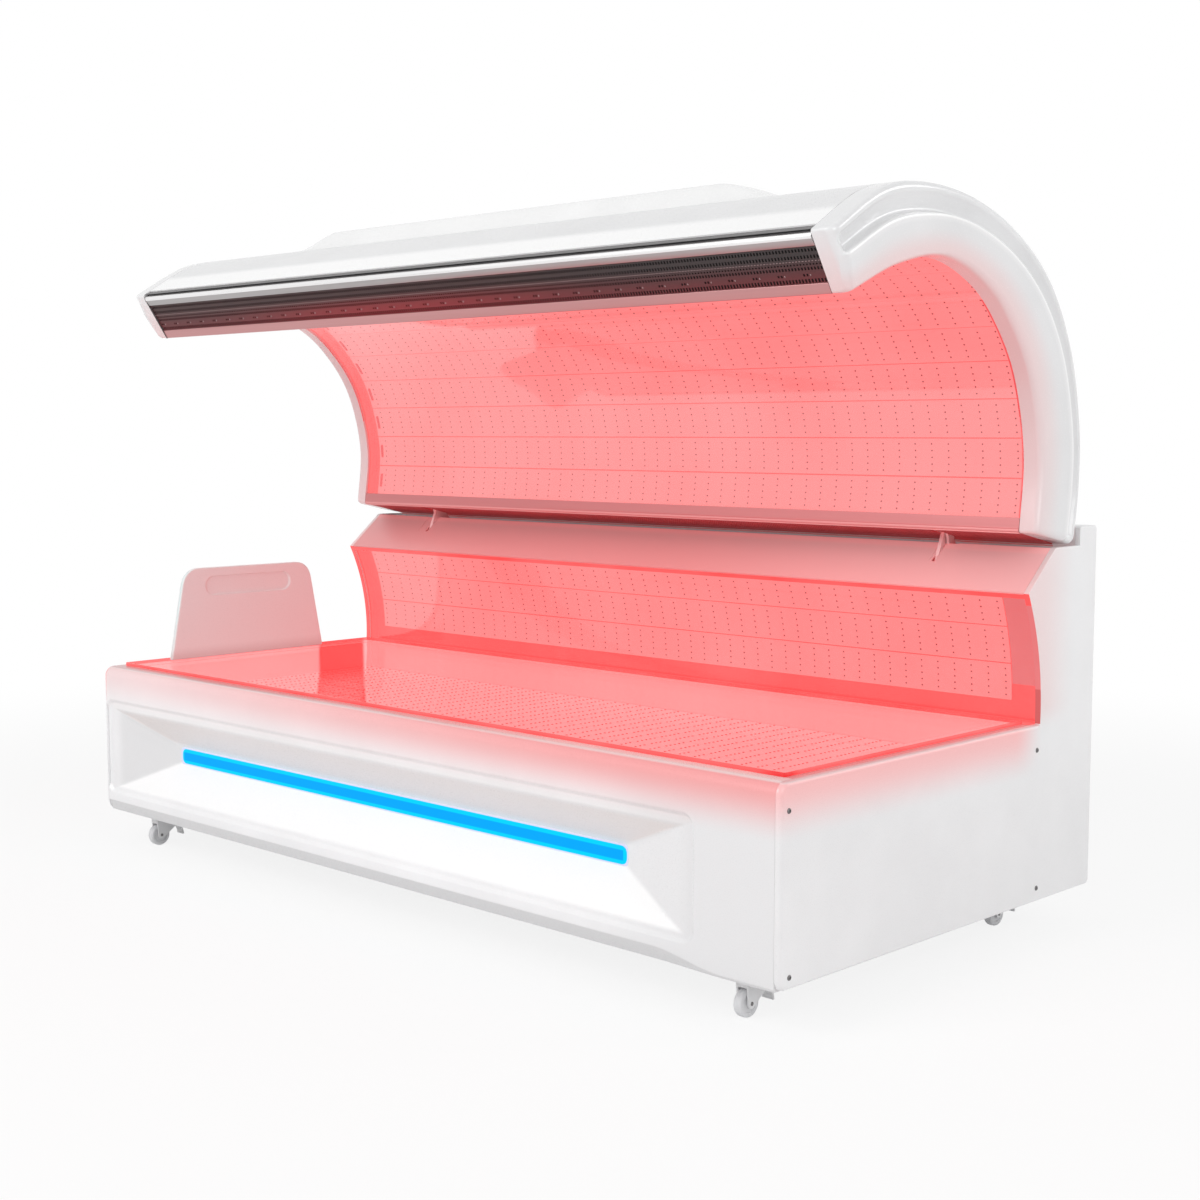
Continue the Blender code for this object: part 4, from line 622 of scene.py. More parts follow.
def makeCap(name, side, node):  # the section carried along the arch from lip to heel, its ends rounded
    c = capSet
    length = (innerLength + outerLength) / 2
    near = np.array(c["near"])
    between = np.linspace(c["from"], length - c["from"], c["stations"])
    run = np.concatenate([near, between, length - near[::-1]])
    away, along = np.minimum(run, length - run), run / length
    o, i = onLine(outerLine, along), onLine(innerLine, along)
    profile = capSection()
    across, reach = profile.T
    share = across[None]
    turn = smoothStep((along - c["ridgeTurn"][0]) / (c["ridgeTurn"][1] - c["ridgeTurn"][0]))
    ridge = (c["ridgeRun"][0] + (c["ridgeRun"][1] - c["ridgeRun"][0]) * turn)[:, None]
    at = c["ridgeAt"]
    moved = np.where(share < at, share * ridge / at, ridge + (share - at) * (1 - ridge) / (1 - at))
    wide = np.linalg.norm(i - o, axis=1)
    t = 0.5 + (moved - 0.5) * (1 - 2 * quarter(away, c["endRound"][0]) / wide)[:, None]
    yz = o[:, None] + t[..., None] * (i - o)[:, None]
    stepAt, stepTo = c["creaseAt"] - c["step"][0][0], c["rim"] - c["step"][0][1]
    filled = np.maximum(reach, np.interp(across, [stepAt, at], [stepTo, arch["end"]]))
    plain = np.where((across > stepAt) & (across < at), filled, reach)  # the section without its scoop
    fade = smoothStep((away - c["scoopFade"][0]) / (c["scoopFade"][1] - c["scoopFade"][0]))[:, None]
    x = plain[None] + fade * (reach - plain)[None]
    x = x - quarter(away, c["endRound"][1])[:, None] * (reach > c["seam"] + 0.001)[None]
    points = np.concatenate([side * np.maximum(x, c["seam"])[..., None], yz], -1)
    # painted light on the cap: red light towards its inner edge, less towards the heel, minus a painted
    # highlight line along the ridge
    first, wideSpill, loss, lossAt, lossRun = c["spill"]
    lost = loss * smoothStep((along - lossAt) / lossRun)
    spill = smoothStep((share - first) / wideSpill) * (1 - lost)[:, None]
    spill = spill - np.exp(-((share - at + c["glare"][0]) / c["glare"][1]) ** 2) * fade
    putPiece(name, Surface().tube(points), [capWhite], "canopy", [node], 38.0,
             np.concatenate([spill.ravel(), spill[0], spill[-1]]))


makeCap("canopyLeftCap", -1, "canopy_left_end_cap")
makeCap("canopyRightCap", 1, "canopy_right_end_cap")

gasketSet = {"width": 0.0012, "depth": 0.0012, "thick": 0.006, "gap": 0.0001}
gasket, near = Surface(), gasketSet["depth"]
for side in (-1, 1):
    x = onSide(side, capSet["seam"] - gasketSet["gap"], capSet["seam"] - gasketSet["width"])
    layer(gasket, shares, near, near + gasketSet["thick"], *x, fromOuter, int(side < 0))
putPiece("canopySeams", gasket, [seamGrey, seamDark], "canopy")
print("canopy shell and caps made")


# Front edge of the canopy

lipTop, lipFoot = onLine(outerLine, 0.0), onLine(innerLine, 0.0)
lipFace = float(np.linalg.norm(lipFoot - lipTop))
lipDown = (lipFoot - lipTop) / lipFace
lipOut = np.array([lipDown[1], -lipDown[0]])
lipOut = lipOut if lipOut[0] < 0 else -lipOut


def lipPoint(section):  # (down the face, out of it) pairs as (y, z)
    s = np.asarray(section, float)
    return lipTop + s[:, :1] * lipDown + s[:, 1:] * lipOut


def lipWorld(x, a, b):  # the same on arrays, with x along the canopy
    flat = lipTop + np.asarray(a)[..., None] * lipDown + np.broadcast_to(b, np.shape(a))[..., None] * lipOut
    return np.concatenate([np.asarray(x)[..., None], flat], -1)


every, grouped = [True], [False, True, True, False, False, False, False, False]
frontSet = {
    "sunk": 0.0024,  # groove behind the upper rail, under the shell's front edge
    "upper": (0.0062, 0.0303),  # from and to, down the face
    "grille": (0.0302, lipFace - 0.0225),
    "lower": (lipFace - 0.0222, lipFace),
    "deep": 0.018,
    "groove": ((0.0014, -0.0052), (0.0060, -0.0165)),  # its foot: down the face, out of it
    "grooveIn": (0.002, 0.016),  # its edge under the shell: share of the arch, depth
    "nose": (0.0080, -0.0055),  # radius of the upper rail's rounded edge, its centre's place
    "noseBack": -0.0057,
    "shoulder": ((0.0094, 0.0024), (0.0100, 0.0014)),  # step under the nose: down from the rail's top, out
    "hem": (0.0012, 0.0006),  # bend above the rail's lower edge: up from it, out
    "seam": (0.0004, 0.0016, 0.0012),  # dark joint line round the lip's left end, drawn only on the shaded end as painted shade: proud, wide, its foot
    "lowerTop": -0.0004, "lowerSoft": (0.0003, 0.0016, 0.0022, 0.0003),
    "cells": 296,
    "plate": (-0.002, 0.0022, -0.0055),  # front, depth of the holes, back
    "rows": ((0.06, 0.165, (0.56, 0.80), every), (0.24, 0.345, (0.52, 0.85), every),
             (0.455, 0.52, (0.46, 0.7), every), (0.55, 0.65, (0.56, 0.80), every),
             (0.72, 0.82, (0.58, 0.66), grouped), (0.87, 0.99, (0.58, 0.90), every)),
    "dash": (0.40, (0.0017, 0.0006, 0.0006)),  # raised marks: share down the grille, half sizes
    "pin": (0.775, (0.0010, 0.0018, 0.0010)),
}
s, deep = frontSet, -frontSet["deep"]
pastEdge, grooveDeep = s["grooveIn"]
edge = fromOuter(np.full(2, shellSet["setBack"] / outerLength + pastEdge),
                 np.array([s["sunk"] + shellSet["thick"] * 0.2, grooveDeep]))
groove = np.concatenate([edge[:1], lipPoint(s["groove"]), edge[1:]])
putPiece("canopyFrontGroove", alongX(Surface(), groove, -half, half), [grooveDark], "canopy")

a0, a1 = s["upper"]
bend, centre = s["nose"]
turns = np.linspace(0.1, math.pi / 2, 10)
nose = [(a0 + bend * (1 - math.cos(t)), centre + bend * math.sin(t)) for t in turns]
hemUp, hemOut = s["hem"]
rail = [(a0, deep), (a0, s["noseBack"]), *nose, *[(a0 + a, b) for a, b in s["shoulder"]],
        (a1 - hemUp, hemOut), (a1, 0.0), (a1, deep)]
looks = [2 if k == 0 else 1 if 12 <= k <= 15 else 0 for k in range(len(rail))]  # dark top face and grey lower half as painted shade, the rest in the bright copy as painted highlight
putPiece("canopyUpperRail", alongX(Surface(), lipPoint(rail), -half, half, 0, looks),
         [railBright, railGrey, grooveDark], "canopy", ["front_upper_rail"], 24.0)

proud, wide, seamFoot = s["seam"]
line = [(a0 - proud, deep), (a0 - proud, s["noseBack"]), *[(a, b + proud) for a, b in nose],
        *[(a0 + a + proud, b + proud) for a, b in s["shoulder"]],
        (lipFace, seamFoot), (lipFace + proud, deep)]
putPiece("canopyLipSeam", alongX(Surface(), lipPoint(line), -half, -half + wide), [seamDark],
         "canopy")

a0, a1 = s["lower"]
rail = softened([(a0, deep), (a0, s["lowerTop"]), (a1, 0.0), (a1, deep)], s["lowerSoft"], 5)
putPiece("canopyLowerRail", alongX(Surface(), lipPoint(rail), -half, half), [railSatin],
         "canopy", ["front_lower_rail"])

a0, a1 = s["grille"]
tall, done = a1 - a0, 0.0
edges = np.linspace(-half, half, s["cells"] + 1)
bands = []
for start, stop, share, mask in s["rows"]:
    bands.append((a0 + done * tall, a0 + start * tall, None, None))
    bands.append((a0 + start * tall, a0 + stop * tall, share, mask))
    done = stop
bands.append((a0 + done * tall, a1, None, None))
grille = perforated(Surface(), edges, bands, lipWorld, *s["plate"])
middles = (edges[:-1] + edges[1:]) / 2
out3, down3 = np.array([0, *lipOut]), np.array([0, *lipDown])
# raised dashes and pins in the light glint finish: painted highlights
for at, (share, halves), taper in ((middles, s["dash"], 0.8), (middles[3::8], s["pin"], 0.6)):
    spots = lipWorld(at, np.full(len(at), a0 + share * tall), s["plate"][0])
    blocks(grille, spots, (1, 0, 0), down3, out3, halves, taper, 2)
putPiece("canopyFrontGrille", grille, [grilleDark, grilleHole, glint],
         "canopy", ["front_grille"])
print("canopy front edge made")


# Light strips, their backing and the clear sheet

stripSet = {
    "boards": 6, "each": 2, "start": 0.058, "end": 0.030, "space": 0.003, "depth": 0.025, "thick": 0.003,
    "ends": (-1.036, 1.040), "columns": (-1.0064, 1.0320, 50), "rows": 5, "rowPitch": 0.01365,
    "bead": (0.0016, 0.0016, 0.0010), "plugs": (-1.024, 1.0465), "plug": (0.0040, 0.019, 0.0030),
    "plugAt": (0.0005, 0.02),  # behind the strip's face, depth where its direction is taken
    "backing": (0.022, 0.0320, 0.005, 0.007),  # start and end along the arch, near and far behind the strips
    "endSheet": (0.0001, 0.0011, 0.0004, 0.0048),  # in from the ends, behind the clear sheet, past the strips
}
sheetSet = {"start": 0.0200, "end": 0.0310, "thick": 0.005,
            "glint": (0.50, 0.77, 0.0022), "glintDeep": (-0.0003, 0.0005)}
s = stripSet
low, high = s["start"] / innerLength, 1 - s["end"] / innerLength
pitch, space = (high - low) / s["boards"] / s["each"], s["space"] / innerLength / 2
columns, rows = ledLines(s["columns"], s["rows"], s["rowPitch"])
beads = Surface()
for index in range(s["boards"]):
    board = Surface()
    for side in range(s["each"]):
        start = low + (index * s["each"] + side) * pitch + space
        stop = start + pitch - 2 * space
        layer(board, np.linspace(start, stop, 9), s["depth"], s["depth"] + s["thick"], *s["ends"], fromInner)
        at = (start + stop) / 2 + rows / innerLength
        depths = np.full(len(at), s["depth"])
        spots = fromInner(at, depths)
        x, r = (m.ravel() for m in np.meshgrid(columns, np.arange(len(at)), indexing="ij"))
        across = np.column_stack([0 * x, alongInner(at, depths)[r]])
        lift = np.cross(across, (1.0, 0, 0))
        toInside = np.column_stack([0 * x, (onLine(innerLine, at) - spots)[r]])
        lift *= np.sign(np.sum(lift * toInside, 1))[:, None]
        blocks(beads, np.column_stack([x, spots[r]]), (1, 0, 0), across, lift, s["bead"], 0.7)
        plug = np.array([(start + stop) / 2])
        plugIn, leanAt = s["plugAt"]
        place = fromInner(plug, np.array([s["depth"] + plugIn]))[0]
        lean = alongInner(plug, np.array([leanAt]))[0]
        inward = unit(onLine(innerLine, plug)[0] - place)
        ends = np.array([(e, *place) for e in s["plugs"]])
        blocks(beads, ends, (1, 0, 0), (0, *lean), (0, *inward), s["plug"], 0.85, 1)
    putPiece(f"canopyBoard{index + 1}", board, [stripRed], "canopy",
             [f"canopy_led_board_{index + 1}"])
putPiece("canopyLedBeads", beads, [beadRed, connectorRed], "canopy")
start, stop, near, far = s["backing"]
span = np.linspace(start / innerLength, 1 - stop / innerLength, 90)
backing = layer(Surface(), span, s["depth"] + near, s["depth"] + far, -half, half, fromInner)
putPiece("canopyReflector", backing, [backingRed], "canopy")
span = np.linspace(sheetSet["start"] / innerLength, 1 - sheetSet["end"] / innerLength, 140)
putPiece("canopyClearSheet", layer(Surface(), span, 0.0, sheetSet["thick"], -half, half, fromInner),
         [canopyClear], "canopy", ["canopy_acrylic"])
# end walls of the canopy's light box glow red as painted light, and a thin glowing strip at each end of the
# clear sheet is a painted glint
lightEnds = Surface()
start, stop, wide = sheetSet["glint"]
near, far, gap, past = s["endSheet"]
for side in (-1, 1):
    x = onSide(side, half - near, half - far)
    layer(lightEnds, span, sheetSet["thick"] + gap, s["depth"] + past, *x, fromInner)
    x = onSide(side, half, half - wide)
    layer(lightEnds, np.linspace(start, stop, 40), *sheetSet["glintDeep"], *x, fromInner, 1)
putPiece("canopyLightEnds", lightEnds, [backingRed, connectorRed], "canopy")
print("canopy light made:", s["boards"] * s["each"], "strips")


# Heel of the canopy

heelSet = {
    "rail": 0.030, "thick": 0.010, "skirt": (0.0015, 0.005),
    "bends": (0.7, 0.9), "bendRun": 0.1,  # where the rail stands out, and where it curls under
    "face": (0.0004, 0.0012, 0.003),  # depth of the rail's face, how far it stands out, how far it curls
    "gaps": (0.0003, 0.0002),  # round the plates: behind the rail, at the rear
    "sunk": 0.002, "plate": 0.003, "hole": 0.0018,
    "lean": 0.030,  # the plate falls to the rear
    "near": 0.1055,  # hinge slots reach from here to the inner edge
    "rear": 0.0043, "rim": (0.0042, 0.001, 0.0014),  # rear rim: wide, into the heel, out of it
    "rows": 12, "bar": 0.3, "share": (0.62, 0.8),
    "spans": ((-half, -0.8478, 30), (-0.8262, 0.8262, 240), (0.8478, half, 30)),
}
s = heelSet
heelIn, heelOut = onLine(innerLine, 1.0), onLine(outerLine, 1.0)
heelWide = float(np.linalg.norm(heelOut - heelIn))
heelBack = (heelOut - heelIn) / heelWide
heelDown = np.array([heelBack[1], -heelBack[0]])
heelDown = heelDown if heelDown[1] < 0 else -heelDown
along = np.linspace(0, 1, 26)
bulge, curl = (np.clip((along - start) / s["bendRun"], 0, 1) for start in s["bends"])
flush, proud, tuck = s["face"]
railDepth = flush - proud * bulge + tuck * curl ** 2
railShares = 1 - s["rail"] / innerLength * (1 - along)
front = fromInner(railShares, railDepth)
behind = fromInner(railShares, np.full(len(along), s["thick"]))
hang = front[-1] + s["skirt"][0] * heelDown
section = np.concatenate([front, [hang, hang + s["skirt"][1] * heelBack], behind[::-1]])
looks = [1 if 20 <= k <= 27 else 0 for k in range(len(section))]  # lower edge and skirt paler: painted highlight
putPiece("canopyHeelRail", alongX(Surface(), section, -half, half, 0, looks), [heelMauve, heelPale], "canopy",
         ["bottom_rail"], 26.0)


def heelWorld(x, a, b):  # (x, from the inner edge to the rear, down out of the heel), the plate leaning
    drop = np.broadcast_to(b, np.shape(a)) + heelSet["lean"] * np.asarray(a)
    flat = heelIn + np.asarray(a)[..., None] * heelBack + drop[..., None] * heelDown
    return np.concatenate([np.asarray(x)[..., None], flat], -1)


gap, rearGap = s["gaps"]
marks = np.linspace(s["thick"] + gap, s["near"], s["rows"] + 1)
bar = s["bar"] * (marks[1] - marks[0])
bands = []
for start, stop in zip(marks[:-1], marks[1:]):
    bands += [(start, start + bar, None, None), (start + bar, stop, s["share"], every)]
plate = (-s["sunk"], s["hole"], -s["sunk"] - s["plate"])
heel = Surface()
for x0, x1, count in s["spans"]:
    perforated(heel, np.linspace(x0, x1, count + 1), bands, heelWorld, *plate)
bands = [(s["near"] + rearGap, heelWide - s["rear"], None, None)]
perforated(heel, np.linspace(-half, half, 60), bands, heelWorld, *plate)
# pale rim along the heel's rear edge: painted highlight, glowing a little
rim, rimIn, rimOut = s["rim"]
rimBox = corners(heelWide - rim, heelWide - rearGap, -rimIn, rimOut)[[0, 3, 2, 1]]
alongX(heel, heelWorld(np.zeros(4), *rimBox.T)[:, 1:], -half, half, 2)
putPiece("canopyHeelGrille", heel, [heelGrillePaintedRed, grilleHole, heelPale],
         "canopy", ["bottom_grille"])
print("canopy heel made")


# Raised housing on the crown

crownSet = {"half": 0.785, "front": -0.19, "rear": 0.20, "height": 0.042, "rampX": 0.17, "rampY": 0.055,
            "sunk": 0.0015, "flatY": (-0.13, 0.14), "under": 0.003, "vents": 6, "pitch": 0.110,
            "ventAt": (0.36, 0.16),  # first slot and step to the next, in shares of the ramp
            "slot": (0.040, 0.0022, 0.0010), "slotSunk": 0.0004,  # half sizes
            "hood": (0.042, 0.0013, 0.0028), "hoodBack": 0.0030, "probe": 0.002}
topPart = outerLine[: int(np.argmax(outerLine[:, 0]))]


def crownZ(x, y):  # canopy's outer line lifted by the product of the two ramps
    c = crownSet
    ramp = smoothStep((c["half"] - np.abs(x)) / c["rampX"])
    ramp = ramp * (smoothStep((y - c["front"]) / c["rampY"]) * smoothStep((c["rear"] - y) / c["rampY"]))
    return np.interp(y, topPart[:, 0], topPart[:, 1]) + c["height"] * ramp - c["sunk"] * (1 - ramp)


c = crownSet
flat = c["half"] - c["rampX"]
x = np.concatenate([np.linspace(-c["half"], -c["half"] + c["rampX"], 28),
                    np.linspace(c["rampX"] - c["half"], flat, 40)[1:-1], np.linspace(flat, c["half"], 28)])
y = np.concatenate([np.linspace(c["front"], c["front"] + c["rampY"], 18), np.linspace(*c["flatY"], 24),
                    np.linspace(c["rear"] - c["rampY"], c["rear"], 18)])
gx, gy = np.meshgrid(x, y, indexing="ij")
top = np.stack([gx, gy, crownZ(gx, gy)], -1)
bottom = np.stack([gx, gy, np.interp(gy, topPart[:, 0], topPart[:, 1]) - c["under"]], -1)
crown = Surface().add(top, gridFaces(*gx.shape)).add(bottom, gridFaces(*gx.shape))
for pick in ((slice(None), 0), (slice(None), -1), (0, slice(None)), (-1, slice(None))):
    wall = np.stack([top[pick], bottom[pick]])
    crown.add(wall, gridFaces(2, wall.shape[1]))
putPiece("canopyCrown", crown, [crownWhite], "canopy", ["canopy_top_housing"], 50.0)

vents = Surface()
for k in range(c["vents"]):
    mid = (k - (c["vents"] - 1) / 2) * c["pitch"]
    for row in range(3):
        yAt = c["rear"] - c["rampY"] * (c["ventAt"][0] + c["ventAt"][1] * row)
        z, zNext = (float(crownZ(np.array(mid), np.array(at))) for at in (yAt, yAt + c["probe"]))
        lean = unit(np.array([0, c["probe"], zNext - z]))
        up = np.cross((1.0, 0, 0), lean)
        blocks(vents, (mid, yAt, z - c["slotSunk"]), (1, 0, 0), lean, up, c["slot"], 0.98, 0)
        blocks(vents, np.array((mid, yAt, z)) - lean * c["hoodBack"], (1, 0, 0), lean, up, c["hood"], 0.7, 1)
putPiece("crownVents", vents, [grilleHole, shellWhite], "canopy")
print("crown made")


# Base housing

baseSet = {
    "half": 1.100, "inside": 1.0877, "wall": 0.012, "front": -0.535, "rear": 0.535, "under": 0.086,
    "deck": 0.456, "brow": 0.024, "foot": 0.020, "edge": 0.0105, "inner": 0.0003, "arcEdge": 0.0008,
    "rearEdge": 0.0018,  # less than the small corners there
    "footBend": 0.006,  # middle of the front lower corner
    "rearFoot": ((0.008, 0.0), (0.0023, 0.0023), (0.0, 0.008)),  # in from the rear face, up from below
    "rearHead": ((0.0, 0.851), (0.002, 0.855), (0.006, 0.857)),  # in from the rear face, height
    "ledge": ((0.470, 0.857), (0.466, 0.853), (0.466, 0.8175), (0.374, 0.8175), (0.366, 0.816)),
}
arcSet = {"radius": 0.546, "centreY": 0.321 - 0.546, "centreZ": 0.486, "tip": 0.729}


def arcY(z):  # front face of the back light panel, a circle in the end view
    a = arcSet
    return a["centreY"] + np.sqrt(a["radius"] ** 2 - (np.asarray(z, float) - a["centreZ"]) ** 2)


def arcBehind(z, depth):  # point this far behind the arc along its radius
    p = np.stack([arcY(z), np.asarray(z, float)], -1)
    return p + np.asarray(depth)[..., None] * unit(p - np.array([arcSet["centreY"], arcSet["centreZ"]]))


def browLine(count):  # quarter round from the deck to the front face
    b = baseSet
    return [(b["front"] + b["brow"] * (1 - math.sin(t)), b["deck"] - b["brow"] * (1 - math.cos(t)))
            for t in np.linspace(0, math.pi / 2, count)]


b = baseSet
front, rear, under, deck, inside = (b[key] for key in ("front", "rear", "under", "deck", "inside"))
bend = b["footBend"]
foot = [(front, under + b["foot"]), (front + bend, under + bend), (front + b["foot"], under)]
back = [*[(rear - y, under + z) for y, z in b["rearFoot"]], *[(rear - y, z) for y, z in b["rearHead"]],
        *b["ledge"]]
arcPart = [(float(arcY(z)), float(z)) for z in np.linspace(arcSet["tip"], deck, 22)]
brow = [(arcPart[-1][0] - 0.012, deck), *browLine(9)]
outline = np.array(foot + back + arcPart + brow)
parts = ((foot, "edge"), (back, "rearEdge"), (arcPart, "arcEdge"), (brow, "edge"))
soft = np.concatenate([np.full(len(part), b[key]) for part, key in parts])
sides = (("left", -1), ("right", 1))
for name, side in sides:
    x = onSide(side, b["half"] - b["wall"], b["half"])
    panel = slab(Surface(), outline, *x, (b["inner"], soft)[::side], "x", 7)
    putPiece(f"{name}EndPanel", panel, [panelWhite], "base", [f"{name}_end_panel"], 30.0)

fasciaSet = {
    "recess": (-1.060, 0.875, 0.146, 0.349), "slot": (-0.8498, 0.6648, 0.2307, 0.2653), "deep": 0.074,
    "frame": (-1.094, 0.905, 0.130, 0.375), "frameRound": 0.030, "frameDeep": 0.0080, "frameWide": 0.011,
    "soft": 0.012, "thick": 0.004, "wall": 0.007, "back": -0.488, "under": -0.475,
    "lap": 0.001, "chinBack": (0.003, 0.005),  # inner face: below the outer rows, behind the slope
    "chin": (0.011, 0.030),  # depth and height of the lower slope
    "chinRun": (0.80, 0.17, 0.25),  # it runs out from here, over this length, to this share
    "chinLine": ((0.03, 0.93), (0.10, 0.84), (0.82, 0.08), (0.90, 0.02), (1.0, 0.0)),
    "rows": ((0.330, 0.380, 22), (0.126, 0.160, 16), (0.226, 0.270, 14)),  # closer rows at the creases
    "cols": ((-1.0877, -1.03, 24), (0.83, 0.92, 34), (-0.87, -0.83, 12), (0.645, 0.685, 12)),
    "innerRows": (0.432, 0.375, 0.349, 0.300, 0.2653, 0.2307, 0.190, 0.146, 0.130, 0.122),
}


def recessDepth(x, z):  # least of four ramps from frame to slot, creases softened, plus the frame's own step
    f = fasciaSet
    (l, r, d, u), (sl, sr, sd, su) = f["recess"], f["slot"]
    ramps = np.stack([(x - l) / (sl - l), (r - x) / (r - sr), (z - d) / (sd - d), (u - z) / (u - su)])
    least = -f["soft"] * np.log(np.exp(-np.clip(ramps, -2, 2) / f["soft"]).sum(0))
    taper = f["soft"] * np.log1p(np.exp(np.clip(least, -1, 3) / f["soft"]))
    fl, fr, fd, fu = f["frame"]
    dx = np.abs(x - (fl + fr) / 2) - (fr - fl) / 2 + f["frameRound"]
    dz = np.abs(z - (fd + fu) / 2) - (fu - fd) / 2 + f["frameRound"]
    away = np.hypot(np.maximum(dx, 0), np.maximum(dz, 0)) + np.minimum(np.maximum(dx, dz), 0)
    away = away - f["frameRound"]
    step = f["frameDeep"] * smoothStep(-away / f["frameWide"])
    return step + (f["deep"] - f["frameDeep"]) * np.minimum(taper, 1.0) * (away < 0)


f = fasciaSet
chinDeep, chinTall = f["chin"]
rows = ((deck - b["brow"], under + chinTall, 70), *f["rows"])
faceRows = np.unique(np.concatenate([np.linspace(*run) for run in rows]))[::-1]
faceCols = np.unique(np.concatenate([np.linspace(*run) for run in ((-inside, inside, 150), *f["cols"])]))
chin = [(front + chinDeep * y, under + chinTall * z) for y, z in f["chinLine"]]
face = [(front, z) for z in faceRows]
lineOut = np.array([(f["back"], deck), *browLine(10)[:-1], *face, *chin, (f["under"], under)])
lap, (chinIn, chinUp) = f["lap"], f["chinBack"]
lineIn = np.array([(f["back"], deck - f["thick"]), (front + b["brow"], deck - f["thick"] - lap),
                   *[(front + f["wall"], z - lap) for z in f["innerRows"]],
                   (front + chinDeep + chinIn, under + chinUp), (f["under"], under + f["thick"])])
loop = np.concatenate([lineOut, lineIn[::-1]])
gx, gz = np.meshgrid(faceCols, loop[:, 1], indexing="ij")
gy = np.broadcast_to(loop[:, 0], gx.shape)
onFace = (np.abs(gy - front) < 1e-6) | (np.abs(gy - front - f["wall"]) < 1e-6)
gy = gy + np.where(onFace, recessDepth(gx, gz), 0.0)
onChin = np.isin(np.arange(len(loop)), len(lineOut) - 2 - np.arange(len(chin) + 1))
start, run, left = f["chinRun"]
runOut = 1 - (1 - left) * smoothStep((gx - start) / run)
gy = np.where(onChin, front + (gy - front) * runOut, gy)
gz = np.where(onChin, under + (gz - under) * runOut, gz)
fascia = Surface().tube(np.stack([gx, gy, gz], -1))
putPiece("frontFascia", fascia, [fasciaWhite], "base", ["front_fascia"], 40.0)
print("end panels and fascia made")


# Blue light in the recess

blueSet = {
    "box": (-0.8495, 0.6755, 0.2278, 0.2652), "front": -0.4675, "back": -0.4520,
    "corner": 0.0165, "edge": 0.003,
    "coreHigh": (0.0092, 0.0108), "coreLong": (0.0095, 0.0080),  # soft edge of the core
    "rim": srgb(0, 212, 255), "core": srgb(0, 168, 255),
    "margin": (0.008, 0.003, 0.003, 0.002),  # of the pale surround: left, right, below, above
    "surround": (-0.4655, -0.4610, 0.012, 0.0008),  # its front, back, corner and edge
}
l, r, d, u = blueSet["box"]
blueLight = Finish("blueLight")
axes = blueLight.add("SeparateXYZ", {0: blueLight.place()}).outputs


def inCore(axis, low, high, near, far):  # 1 about the middle of a span, 0 towards its ends
    away = blueLight.maths("ABSOLUTE", blueLight.maths("SUBTRACT", axes[axis], (low + high) / 2))
    return blueLight.ranged(away, near, far, 1, 0)


coreEnds = ((r - l) / 2 - reach for reach in blueSet["coreLong"])
core = blueLight.maths("MULTIPLY", inCore("Z", d, u, *blueSet["coreHigh"]), inCore("X", l, r, *coreEnds))
blueLight.wire(blueLight.shader, {
    "Emission Color": blueLight.mix(core, blueSet["rim"], blueSet["core"]), "Emission Strength": 1.0,
    "Base Color": (0.0, 0.02, 0.04, 1.0), "Roughness": 0.6, "Specular IOR Level": 0.05})
bar = softened(corners(l, r, d, u), blueSet["corner"], 8)
bar = slab(Surface(), bar, blueSet["front"], blueSet["back"], blueSet["edge"], "y", 5)
putPiece("blueLightBar", bar, [blueLight], "base", ["front_light_diffuser"])
# pale surround of the blue bar, glowing as its painted halo
ml, mr, md, mu = blueSet["margin"]
near, far, bend, soft = blueSet["surround"]
surround = softened(corners(l - ml, r + mr, d - md, u + mu), bend, 8)
surround = slab(Surface(), surround, near, far, soft, "y", 3)
putPiece("blueLightSurround", surround, [surroundPaintedHalo], "base")


# Bed: clear sheet with glowing edges, light well and board

bedSet = {
    "sheet": (-1.072, 1.072, -0.489, 0.300), "low": 0.4563, "high": 0.4643, "corner": 0.006, "edge": 0.0012,
    "opening": (-1.0297, 1.0297, -0.4497, 0.2804), "well": (0.3810, 0.4556), "margin": (0.45606, 0.45622),
    "board": 0.387, "strips": 9, "pitch": 0.0783, "middle": -0.0847, "columns": (-1.0, 1.0, 49),
    "dot": (0.0020, 0.0020, 0.0014),
    "wellCorner": 0.004, "wellThick": 0.0015, "marginIn": 0.0025, "marginLap": 0.001,
    "boardGap": 0.0017, "boardCorner": 0.003, "boardLow": 0.381, "boardEdge": 0.0008,
    "stripThick": 0.002, "stripEnd": 0.006, "stripGap": 0.002, "stripEdge": 0.0004,
}
s = bedSet
sheetOutline = softened(corners(*s["sheet"]), s["corner"], 8)
sheet = slab(Surface(), sheetOutline, s["low"], s["high"], s["edge"], "z", 4, 0, 1)
putPiece("bedClearSheet", sheet, [bedClear, edgeRed], "base", ["bed_acrylic"])

l, r, d, u = s["opening"]
rim = corners(l, r, d, u)
ring = softened(rim, s["wellCorner"], 4)
inner = inset(ring, s["wellThick"])
# walls of the light well and a margin under the sheet's edge glow red: painted light from the board
putPiece("bedLightWell", closedLoop(ring, inner, *s["well"]), [bedRed], "base")
ring, lap = inset(sheetOutline, s["marginIn"]), s["marginLap"]
inner = np.clip(ring, [l - lap, d - lap], [r + lap, u + lap])
putPiece("bedGlowMargin", closedLoop(ring, inner, *s["margin"]), [bedRed], "base")

